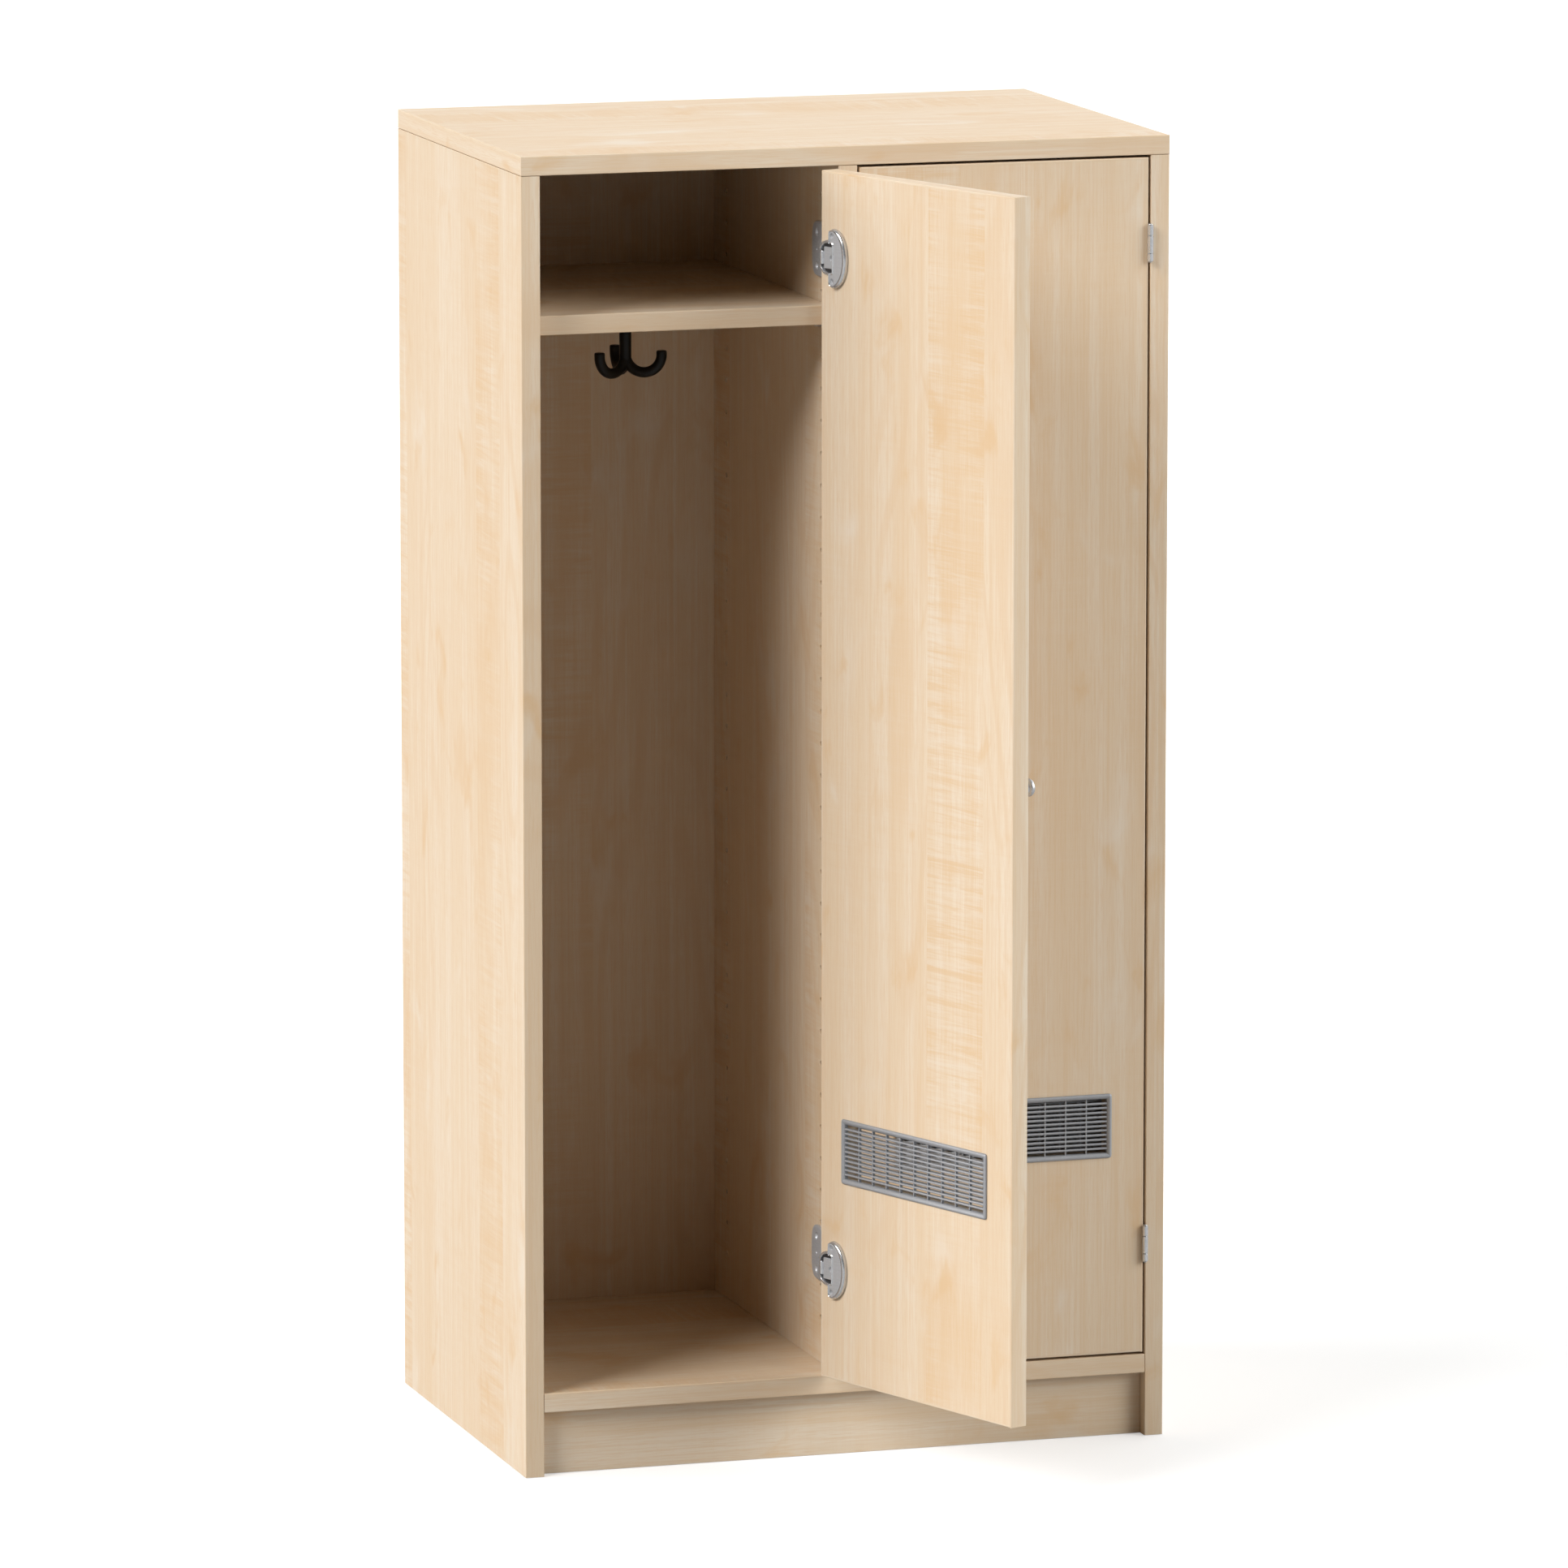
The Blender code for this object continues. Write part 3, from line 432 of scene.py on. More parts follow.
# Level boards of the carcass: the top over the sides, the floor between them, both shelves and
# the plinth, of the same board. The front edges are banded, and both ends of the top too.
def block(low, high, radius=ARRIS):
    """A block with rounded edges. The normal runs over a ball's latitudes and longitudes, each
    eighth of the ball at its own corner: the corner's centre plus the radius times the normal."""
    steps = 2
    low, high = np.array(low, float), np.array(high, float)
    quarter = np.linspace(0, pi / 2, steps + 1)
    east = np.concatenate([quarter + k * pi / 2 for k in range(4)])[None]
    north = np.concatenate([quarter - pi / 2, quarter])[:, None]
    flat = np.broadcast_to(east, (len(north), east.shape[1]))
    ring = np.cos(north)
    normal = np.stack([ring * np.cos(flat), ring * np.sin(flat), np.sin(north) + 0 * flat], -1)
    side = np.zeros_like(normal)
    side[..., 0] = np.repeat([1, -1, -1, 1], steps + 1)
    side[..., 1] = np.repeat([1, 1, -1, -1], steps + 1)
    side[..., 2] = np.repeat([-1, 1], steps + 1)[:, None]
    points = (low + high) / 2 + (side * ((high - low) / 2 - radius) + radius * normal)
    around = 4 * (steps + 1)
    ends = np.arange(0, around, steps + 1)[None]
    rows = len(north)
    return points.reshape(-1, 3), [quads(rows, around), ends, ends + (rows - 1) * around], 0


SHELF_UNDER = 1124.3 * MM
SHELF_HALF = 150.0 * MM
SHELF_FRONT = FRONT + 28 * MM
BAY_CENTRE = 160.25 * MM
BAYS = {"left": -BAY_CENTRE, "right": BAY_CENTRE}
top_low = (-WIDTH / 2 + BAND, FRONT + BAND, TOP_UNDER)
top_high = (WIDTH / 2 - BAND, REAR, HEIGHT)
board("top_board", [block(top_low, top_high)], "top_panel", (1, 0, 2), 5)
top_middle = TOP_UNDER + BOARD / 2
band("top_front_band", "carcass", (0, FRONT, top_middle), 0, 1, -1, (-WIDTH / 2, WIDTH / 2), 25)
for side, word in ((-1, "left"), (1, "right")):
    centre = (side * WIDTH / 2, 0, top_middle)
    band(f"top_{word}_band", "carcass", centre, 1, 0, side, (FRONT + BAND, REAR), 26 + side)

floor_shell = block((-INNER + GAP, FRONT + BAND, PLINTH), (INNER - GAP, BACK_Y - GAP, FLOOR_TOP))
board("floor_board", [floor_shell], "floor_panel", (1, 0, 2), 6)
floor_centre = (0, FRONT, PLINTH + BOARD / 2)
band("floor_front_band", "carcass", floor_centre, 0, 1, -1, (-INNER + GAP, INNER - GAP), 29)

plinth_front = FRONT + 13 * MM
plinth_shell = block((-INNER + GAP, plinth_front, 0), (INNER - GAP, plinth_front + BOARD, PLINTH - GAP))
board("plinth", [plinth_shell], "plinth_board", (2, 0, 1), 7)

for number, (bay, centre_x) in enumerate(BAYS.items()):
    low = (centre_x - SHELF_HALF, SHELF_FRONT + BAND, SHELF_UNDER)
    high = (centre_x + SHELF_HALF, BACK_Y - 2 * MM, SHELF_UNDER + BOARD)
    board(f"{bay}_shelf_board", [block(low, high)], f"{bay}_shelf", (1, 0, 2), 8 + number)
    shelf_centre = (0, SHELF_FRONT, SHELF_UNDER + BOARD / 2)
    shelf_span = (centre_x - SHELF_HALF, centre_x + SHELF_HALF)
    band(f"{bay}_shelf_front_band", "carcass", shelf_centre, 0, 1, -1, shelf_span, 30 + number)


# Back: one 8 mm panel with upright grain, slid down into the grooves of both sides, behind the
# divider and the floor.
back_low = (-INNER - GROOVE + GAP, BACK_Y, PLINTH)
back_high = (INNER + GROOVE - GAP, BACK_Y + BACK_BOARD, TOP_UNDER - GAP)
board("back_board", [block(back_low, back_high)], "back_panel", (0, 2, 1), 11)


# Shelf pins: 5 mm turned steel pins, nickel plated, pushed into the holes, four under each shelf.
# Each has a broken edge at both ends and a shallow ring turned at the wall.
def metal(name, tint, roughness, streaks, depth, sheen, shade=0.86):
    """Plated metal: its tint and gloss waver a little over brush lines or grains, drawn out as streaks
    says. Its sheen is the share of mirror-like metal, the rest the soft grey of a blasted surface."""
    material, tree, shader = new_material(name, Metallic=sheen)
    lines = cloud(tree, stretched(tree, streaks), 3.0, 0.6)
    cast = cloud(tree, stretched(tree, (90.0, 90.0, 90.0)), 2.0)
    dark = tuple(c * shade for c in tint[:3]) + (1.0,)
    tone = tinted(tree, between(tree, lines, 0.35, 0.70), tint, dark)
    tone = tinted(tree, between(tree, cast, 0.45, 0.75, 0.0, 0.25), tone, dark)
    gloss = between(tree, lines, 0.3, 0.7, roughness * 0.85, roughness * 1.2)
    surfaced(tree, shader, tone, gloss, lines, depth, 0.0001)
    return material


SATIN_NICKEL = metal("satin_nickel", colour(206, 206, 208), 0.30, (2600.0, 2600.0, 60.0), 0.10, 0.8)
POLISHED_NICKEL = metal("polished_nickel", colour(214, 215, 217), 0.20, (500.0, 500.0, 500.0), 0.02, 0.75)
SATIN_COVER = metal("brushed_zinc", colour(186, 187, 190), 0.42, (60.0, 60.0, 2400.0), 0.04, 0.4, 0.93)
# Dark nickel for the neck's low foot between its rails: painted shade, standing in for the shadow down in
# the slots beside the arm.
PAINTED_SHADE_NICKEL = metal("painted_shade_nickel", colour(84, 84, 87), 0.38, (700.0, 700.0, 700.0), 0.05, 0.8)


def turned(profile, segments, finish=0):
    """A profile of radius and height pairs in millimetres, spun about Z and closed at both ends."""
    angle = 2 * pi * np.arange(segments) / segments
    radius, height = np.array(profile).T[:, :, None] * MM
    grid = np.stack([radius * np.cos(angle), radius * np.sin(angle), height + 0 * angle], -1)
    return skin(grid, finish)


def nickel_part(name, body, shell, stands_for, pose=UNMOVED):
    """A small turned part in satin nickel."""
    make_piece(name, body, [SATIN_NICKEL], [shell], stands_for, pose)


def aimed(shell, axes, place=(0.0, 0.0, 0.0)):
    """A shell whose own X, Y and Z point along the three given axes, moved to a place."""
    points, groups, finish = shell
    return points @ np.array(axes, float) + np.array(place), groups, finish


ALONG_X = ((0, 1, 0), (0, 0, 1), (1, 0, 0))
AGAINST_X = ((0, 1, 0), (0, 0, -1), (-1, 0, 0))
AGAINST_Y = ((0, 0, -1), (1, 0, 0), (0, -1, 0))

PIN_Z = 1121.5 * MM
BAY = 301.5 * MM
pin_profile = [(2.0, -8), (2.5, -7.5), (2.5, -0.2), (2.15, 0.1), (2.15, 0.7)]
pin_profile += [(2.5, 1.0), (2.5, 6.4), (2.35, 6.8), (1.9, 7)]
for bay, centre_x in BAYS.items():
    seats = [(inward, row) for inward in (1, -1) for row in HOLE_ROWS]
    for number, (inward, row) in enumerate(seats, 1):
        place = (centre_x - inward * BAY / 2, row, PIN_Z)
        axes = ALONG_X if inward > 0 else AGAINST_X
        pin = aimed(turned(pin_profile, 24), axes, place)
        nickel_part(f"{bay}_pin_{number}", "carcass", pin, (f"{bay}_shelf_pin_{number}",))


# Coat hooks: three bent prongs welded round a bar that turns in a flange screwed under the
# shelf, all of steel lacquered black.
def black_lacquer():
    """Black lacquer on steel: a soft gloss that varies a little, with a faint orange peel."""
    material, tree, shader = new_material("black_lacquer", IOR=1.45, Specular_IOR_Level=0.3)
    peel = cloud(tree, stretched(tree, (420.0, 420.0, 420.0)), 2.0)
    wear = cloud(tree, stretched(tree, (60.0, 60.0, 60.0)), 3.0)
    rubbed = between(tree, wear, 0.45, 0.75)
    tone = tinted(tree, rubbed, (0.0022, 0.0021, 0.0020, 1), (0.0045, 0.0043, 0.0042, 1))
    surfaced(tree, shader, tone, between(tree, wear, 0.3, 0.7, 0.34, 0.50), peel, 0.12, 0.0002)
    return material


BLACK = black_lacquer()
HOOK_REACH = 36.8
HOOK_BOTTOM = 65.0
PRONG_RADIUS = 5.25
HOOK_Y = 200.75 * MM
FIRST_PRONG = radians(-30)
PLATE_SCREWS = 10 * MM      # from the hook's axis to the plate's screws


def prong(turn):
    """A round bar carried along a half circle from the stem's axis out and up, and a short straight
    tip with a rounded rim. The section stays square to the path, in the plane of the turn."""
    bend = HOOK_REACH / 2
    steps = 28
    angle = pi * np.arange(steps + 1) / steps
    reach = np.concatenate([bend - bend * np.cos(angle), [HOOK_REACH] * 4])
    tip = np.array([2.0, 3.2, 3.8, 4.0])
    shrink = np.array([0.0, 0.15, 0.7, 1.6])
    lift = bend - HOOK_BOTTOM + np.concatenate([-bend * np.sin(angle), tip])
    outward = np.concatenate([-np.cos(angle), [1, 1, 1, 1]])
    upward = np.concatenate([-np.sin(angle), [0, 0, 0, 0]])
    radius = PRONG_RADIUS - np.concatenate([np.zeros(steps + 1), shrink])
    around = 2 * pi * np.arange(24) / 24
    swell = radius[:, None] * np.cos(around)
    flat = reach[:, None] + swell * outward[:, None]
    z = lift[:, None] + swell * upward[:, None]
    side = radius[:, None] * np.sin(around)
    x = flat * cos(turn) - side * sin(turn)
    y = flat * sin(turn) + side * cos(turn)
    return skin(np.stack([x, y, z], -1) * MM)


def hollow_turned(profile, segments, finish=0):
    """A closed section of radius and height pairs, spun about Z to a ring."""
    points, groups, finish = turned([*profile, profile[0]], segments, finish)
    return points, groups[:1], finish


stem_profile = [(3.6, -0.6), (3.6, -3.6), (5.3, -3.65), (5.8, -3.9), (6, -4.4)]
stem_profile += [(6, -50), (5.6, -53), (4.2, -56), (2, -57.6), (0.4, -57.8)]
flange_profile = [(3.9, -0.3), (16, -0.3), (16, -2.1), (15.7, -2.7), (15, -3.15)]
flange_profile += [(14.2, -3.3), (4.4, -3.3), (3.9, -3.1)]
recess = [(2.9, -3.2), (2.9, -3.6), (2.6, -3.8), (1.5, -3.85), (1.1, -3.3), (0.3, -3.1)]
for bay, centre_x in BAYS.items():
    hang = (0.0, (centre_x, HOOK_Y, SHELF_UNDER))
    plate = [hollow_turned(flange_profile, 48)]
    for k in range(3):
        angle = pi / 2 + 2 * pi * k / 3
        spot = (PLATE_SCREWS * cos(angle), PLATE_SCREWS * sin(angle), 0)
        plate.append(aimed(turned(recess, 20), np.eye(3), spot))
    replaced = (f"{bay}_hook_flange",)
    make_piece(f"{bay}_hook_plate", "carcass", [BLACK], plate, replaced, hang)
    hook = [turned(stem_profile, 32)]
    hook += [prong(FIRST_PRONG + 2 * pi * k / 3) for k in range(3)]
    swivel = f"{bay}_hook_swivel"
    make_piece(f"{bay}_coat_hook", swivel, [BLACK], hook, (f"{bay}_hook",), hang)


# Doors: 19 mm board with upright grain and 2 mm bands on all four edges, a slot cut through
# near the bottom for the vent grilles. The left door stands open.
PIVOT_Y = -25.5 * MM
PIVOTS = {"left": -10.75 * MM, "right": 309.75 * MM}
OPEN = {"left": radians(111), "right": 0.0}
SWUNG = {side: (OPEN[side], (pivot_x, PIVOT_Y, 0.0)) for side, pivot_x in PIVOTS.items()}
DOOR_LEFT = -297.75 * MM    # both edges from the hinge axis
DOOR_RIGHT = -1.25 * MM
DOOR_LOW = 85.5 * MM
DOOR_HIGH = 1280.5 * MM
OUTER = 3 * MM
INSIDE = 22 * MM
VENT_X = -147.5 * MM
VENT_Z = 317 * MM
VENT_HALF = (107.9 * MM, 27.9 * MM)


def door_board():
    """The door's board without its bands: a rounded outline in X and Z at both faces, and a frame of
    flat faces from its corners to those of the vent slot, whose walls join the two faces."""
    low = (DOOR_LEFT + BAND, DOOR_LOW + BAND)
    high = (DOOR_RIGHT - BAND, DOOR_HIGH - BAND)
    outer = np.array([(low[0], low[1]), (high[0], low[1]), (high[0], high[1]), (low[0], high[1])])
    inward = np.array([(1, 1), (-1, 1), (-1, -1), (1, -1)])
    vent = np.array([VENT_X, VENT_Z]) - inward * np.array(VENT_HALF)
    face = outer + inward * ARRIS
    loops = [(vent, OUTER), (face, OUTER), (outer, OUTER + ARRIS)]
    loops += [(outer, INSIDE - ARRIS), (face, INSIDE), (vent, INSIDE), (vent, OUTER)]
    grid = np.array([[(x, y, z) for x, z in loop] for loop, y in loops])
    return skin(grid, ends=(False, False))


for number, (side, pose) in enumerate(SWUNG.items()):
    body = f"{side}_door"
    replaced = f"{side}_door_panel"
    board(f"{side}_door_board", [door_board()], replaced, (0, 2, 1), 12 + number, body, pose)
    middle_y = (OUTER + INSIDE) / 2
    tall, wide = (DOOR_LOW, DOOR_HIGH), (DOOR_LEFT + BAND, DOOR_RIGHT - BAND)
    band(f"{side}_door_free_band", body, (DOOR_LEFT, middle_y, 0), 2, 0, -1, tall, 40 + number, pose)
    band(f"{side}_door_hinge_band", body, (DOOR_RIGHT, middle_y, 0), 2, 0, 1, tall, 42 + number, pose)
    band(f"{side}_door_top_band", body, (0, middle_y, DOOR_HIGH), 0, 2, 1, wide, 44 + number, pose)
    band(f"{side}_door_bottom_band", body, (0, middle_y, DOOR_LOW), 0, 2, -1, wide, 46 + number, pose)


# Vent grilles: one moulded grille of silver-grey plastic on each face of each door. A rounded
# rim stands round ten columns of thin slats, and a sleeve holds it in the slot.
def silver_plastic():
    """Silver-grey moulded plastic: metal flake in the colour, a fine even texture and a soft gloss."""
    material, tree, shader = new_material("silver_grey_plastic", IOR=1.46, Metallic=0.25)
    flake = cloud(tree, stretched(tree, (2200.0, 2200.0, 2200.0)), 1.0)
    cast = cloud(tree, stretched(tree, (35.0, 35.0, 35.0)), 2.0)
    tone = tinted(tree, between(tree, flake, 0.35, 0.70), colour(144, 145, 148), colour(160, 161, 164))
    tone = tinted(tree, between(tree, cast, 0.4, 0.7, 0.0, 0.4), tone, colour(146, 147, 150))
    surfaced(tree, shader, tone, between(tree, flake, 0.3, 0.7, 0.40, 0.52), flake, 0.08, 0.0001)
    return material


SILVER = silver_plastic()
RIM_HALF = (112.5, 32.5)
RIM = 5.3
SLAT_ROWS = 11
COLUMNS = 10


def rim_and_sleeve():
    """The rim's section, as inset and height, carried round a rectangle with round corners. A corner's
    radius shrinks with the inset, and its centre stays put until the radius is used up."""
    section = [(4.8, 0), (0.1, 0), (0, 0.5), (0.35, 1.15), (0.9, 1.65), (1.7, 1.97), (2.6, 1.95)]
    section += [(3.5, 1.6), (4.4, 1.0), (5.0, 0.4), (RIM, -0.4), (RIM + 0.1, -3.2), (4.8, -3.2), (4.8, 0)]
    loops = []
    for inset, height in section:
        half = np.array(RIM_HALF) - inset
        flat = rounded_outline(-half, half, max(3.0 - inset, 0.35), 5)
        loops.append(np.column_stack([flat, np.full(len(flat), height)]))
    return skin(np.array(loops) * MM, ends=(False, False))


def bar(start, end, section):
    """A closed section carried straight from start to end along the first axis."""
    points = np.zeros((2, len(section), 3))
    points[:, :, 0] = np.array([start, end])[:, None]
    points[:, :, 1:] = section
    return skin(points * MM)


def grille_shells():
    """Rim, slats and ribs, in millimetres: X across, Y up and Z out of the face. Each slat has a
    rounded nose and slopes down to its tail; each rib is a thin upright web."""
    inner_x, inner_y = RIM_HALF[0] - RIM + 0.2, RIM_HALF[1] - RIM + 0.2
    nose = np.linspace(-pi / 2, pi / 2, 6)
    slat = np.concatenate([
        np.stack([1.05 * np.sin(nose), -0.1 + 0.6 * np.cos(nose)], -1),
        [(0.85, -3.6), (-0.75, -3.6)],
    ])
    pitch = 2 * (inner_y - 0.2) / (SLAT_ROWS + 1)
    shells = [rim_and_sleeve()]
    for row in range(SLAT_ROWS):
        middle = -inner_y + 0.2 + pitch * (row + 1)
        shells.append(bar(-inner_x, inner_x, slat + [middle, 0]))
    spacing = 2 * inner_x / COLUMNS
    web = np.array([(-0.62, 0.15), (-0.4, 0.4), (0.4, 0.4), (0.62, 0.15), (0.5, -2.8), (-0.5, -2.8)])
    for column in range(1, COLUMNS):
        points, groups, finish = bar(-inner_y, inner_y, web)
        upright_points = points[:, [1, 0, 2]] + np.array([-inner_x + spacing * column, 0, 0]) * MM
        shells.append((upright_points, groups, finish))
    return shells


OUTWARD = ((1, 0, 0), (0, 0, 1), (0, -1, 0))
BACKWARD = ((-1, 0, 0), (0, 0, 1), (0, 1, 0))
for side, pose in SWUNG.items():
    for word, axes, depth in (("outer", OUTWARD, OUTER - GAP), ("inner", BACKWARD, INSIDE + GAP)):
        shells = [aimed(shell, axes, (VENT_X, depth, VENT_Z)) for shell in grille_shells()]
        replaced = (f"{side}_{word}_grille",)
        make_piece(
            f"{side}_{word}_vent", f"{side}_door", [SILVER], shells, replaced, pose
        )


# Knobs: turned from metal with a domed face, a waist and a foot, satin nickel, each on a
# spigot pressed into its door near the free edge.
KNOB = (-270.5 * MM, OUTER, 705.5 * MM)
dome = np.linspace(0, 1, 7)
knob_profile = [(0.3, 25.0)]
knob_profile += [(6.6 * s, 25.0 - 0.5 * s * s) for s in dome[1:]]
rim_arc = np.linspace(0, pi, 10)[1:-1]
knob_profile += [(7.0 + 2.0 * sin(a), 21.6 + 2.7 * cos(a)) for a in rim_arc]
knob_profile += [(6.6, 18.4), (5.7, 16.0), (5.2, 13.0), (5.0, 9.0), (5.1, 5.5), (5.7, 3.2)]
knob_profile += [(6.7, 1.9), (7.4, 1.4), (7.5, 1.0), (7.5, 0.3), (3, 0.3), (3, -12), (0.3, -12)]
for side, pose in SWUNG.items():
    knob = aimed(turned(knob_profile, 64), AGAINST_Y, KNOB)
    nickel_part(f"{side}_door_knob", f"{side}_door", knob, (f"{side}_knob",), pose)


# Hinges: die-cast covers with a polished bevelled rim round a brushed face, screwed inside each
# door. A neck carries them round the door's edge to a barrel, and a plate holds the frame side.
HINGES = {"lower": 196 * MM, "upper": 1196.5 * MM}
FACE = 22.3                 # foot of the cover, back from the hinge axis, in millimetres
COVER_OVAL = (-23.0, 20.5, 29.0)    # centre, reach and half height of the cover's bulge
COVER_HOLE = (-22.2, 22.2)
COVER_HOLE_SIZE = 0.82              # as a share of the countersink in plate_face
ARM_HOLE = (-20.1, 0.0)
ARM_HOLE_SIZE = 0.85
NECK_OVAL = (-17.7, 17.4, 17.6)     # centre, reach and half height of the neck's foot
RAIL_HALF = 1.5
FRAME_OVAL = (60.0, 18.0, 27.0)     # centre, reach and half height of the plate's back edge
FRAME_HOLE = (60.0, 16.5)
FRAME_HOLE_SIZE = 1.25
FRAME_THICKNESS = 4.0
FRAME_DROP = 1.0                    # how far the frame plate sits below the cover
FRAME_FOOT = 0.95                   # foot of the frame plate, to the right of the axis
KNUCKLE = (-10.0, 7.4)              # the frame's knuckle, from its lower to its upper end
PLAY = 0.3                          # between knuckles, and round the pin
BARREL = 3.0
BARREL_END = 18.0
PIN = 1.2
# The third finish, the dark nickel, is painted shade for the neck's foot.
SATIN, POLISHED, PAINTED_SHADE = 0, 1, 2   # finishes of the hinges' metal


def left_of(along):
    """Unit vectors a quarter turn to the left of flat ones."""
    along = along / np.linalg.norm(along, axis=1)[:, None]
    return np.stack([-along[:, 1], along[:, 0]], -1)


def inset_loop(outline, inset):
    """A closed outline moved inward along its normals by an inset, one for all or one for each point."""
    inward = left_of(np.roll(outline, -1, 0) - np.roll(outline, 1, 0))
    return outline + inward * np.broadcast_to(inset, len(outline))[:, None]


def arc_of(ring, start, end):
    """Numbers of a ring's points from one angle to another, both in quarter turns."""
    count = len(ring)
    step = 1 if end > start else -1
    return ring[np.arange(start * count // 4, end * count // 4 + step, step) % count]


def plate_face(loop, height, holes):
    """A flat face inside a loop that runs anticlockwise, with round countersunk holes in a column
    from top to bottom. Lines from each hole's sides to points of the loop level with it part it."""
    arc = 24
    angle = 2 * pi * np.arange(arc) / arc
    dish = np.array([(3.45, 0), (3.2, -0.25), (2.2, -1.9), (2.2, -2.7), (0.3, -2.75)])
    count = len(loop)
    points = [np.column_stack([loop, np.full(count, height)])]
    groups = []
    rings = []
    for k, (x, y, size) in enumerate(holes):
        first = count + k * arc * len(dish)
        radius, drop = dish.T[:, :, None] * size
        flat = x + radius * np.cos(angle), y + radius * np.sin(angle)
        points.append(np.stack([*flat, height + drop + 0 * angle], -1).reshape(-1, 3))
        groups.append(quads(len(dish), arc) + first)
        groups.append(np.arange(arc)[None] + first + (len(dish) - 1) * arc)
        rings.append(first + np.arange(arc))

    def level_with(x, y, side):
        """Number of the loop's point to one side that is most level with a hole and near it."""
        gap = np.hypot(loop[:, 0] - x, (loop[:, 1] - y) * 6)
        return int(np.argmin(gap + 1e3 * ((loop[:, 0] - x) * side < 0)))

    def span(start, end):
        """Numbers of the loop's points from one to another."""
        return (start + np.arange((end - start) % count + 1)) % count

    right = [level_with(x, y, 1) for x, y, _ in holes]
    left = [level_with(x, y, -1) for x, y, _ in holes]
    groups.append(np.concatenate([span(right[0], left[0]), arc_of(rings[0], 2, 0)])[None])
    for k in range(1, len(holes)):
        left_side, right_side = span(left[k - 1], left[k]), span(right[k], right[k - 1])
        upper, lower = arc_of(rings[k - 1], 0, -2), arc_of(rings[k], 2, 0)
        groups.append(np.concatenate([left_side, lower, right_side, upper])[None])
    groups.append(np.concatenate([span(left[-1], right[-1]), arc_of(rings[-1], 0, -2)])[None])
    return np.concatenate(points) * MM, groups, SATIN


def raised(outline, steps, finish, ends=(True, True)):
    """A plate over an outline: loops of it, each moved in by an inset and lifted to a height."""
    level = np.ones(len(outline))
    loops = [np.column_stack([inset_loop(outline, inset), lift * level]) for inset, lift in steps]
    return skin(np.array(loops) * MM, finish, ends)


def softened(corners, radius, steps=4):
    """A polygon with each corner rounded: a curve of the second degree from radius before the corner
    to radius after it, with the corner as its pull."""
    before, after = np.roll(corners, 1, 0), np.roll(corners, -1, 0)
    back = before - corners
    on = after - corners
    back *= np.minimum(radius / np.linalg.norm(back, axis=1), 0.45)[:, None]
    on *= np.minimum(radius / np.linalg.norm(on, axis=1), 0.45)[:, None]
    t = np.linspace(0, 1, steps)[None, :, None]
    curve = (1 - t) ** 2 * back[:, None] + t**2 * on[:, None]
    return (corners[:, None] + curve).reshape(-1, 2)


def cover_shells():
    """The cover: half an oval with a recess in its straight side. The bevelled rim is wide at the
    bulge and narrow at both tips, and inside it lies the brushed face, a little lower."""
    turn = pi / 2 + pi * np.arange(41) / 40
    centre, reach, half = COVER_OVAL
    oval = np.stack([centre + reach * np.cos(turn), half * np.sin(turn)], -1)
    lower = np.array([(-19.2, -27.6), (-17.7, -24.5), (-17.7, -14), (-22.5, -14)])
    straight = np.concatenate([oval[-1:], lower, lower[::-1] * [1, -1], oval[:1]])
    straight = softened(straight, 1.6)[4:-4]
    outline = np.concatenate([oval, straight])
    bulge = np.clip((-outline[:, 0] - 19) / 24.5, 0, 1)
    width = 0.8 + 4.2 * bulge**0.5
    steps = [(0.25, 0), (0, 0.3), (0, 2.5), (0.35, 3.4), (1.0, 4.1)]
    steps += [(width * 0.42, 4.5), (width * 0.62, 4.42), (width, 3.85), (width + 0.25, 3.6)]
    steps = [(inset, FACE + lift) for inset, lift in steps]
    rim = raised(outline, steps, POLISHED, (True, False))
    holes = [(COVER_HOLE[0], sign * COVER_HOLE[1], COVER_HOLE_SIZE) for sign in (1, -1)]
    face = plate_face(inset_loop(outline, width + 0.25), FACE + 3.6, holes)
    return [rim, face]


def knuckle(low, high):
    """One knuckle of the barrel, with a bore for the pin and a broken edge at both ends."""
    broken = 0.45
    profile = [(PIN + PLAY, low), (BARREL - broken, low), (BARREL, low + broken)]
    profile += [(BARREL, high - broken), (BARREL - broken, high), (PIN + PLAY, high)]
    return hollow_turned(profile, 32, POLISHED)


def ridge(path, section):
    """A closed section, as offset to the left and height, carried along a flat path square to it."""
    left = left_of(np.gradient(path, axis=0))
    flat = path[:, None] + left[:, None] * section[None, :, :1]
    lift = np.broadcast_to(section[None, :, 1:], flat.shape[:2] + (1,))
    return skin(np.concatenate([flat, lift], -1) * MM, POLISHED)


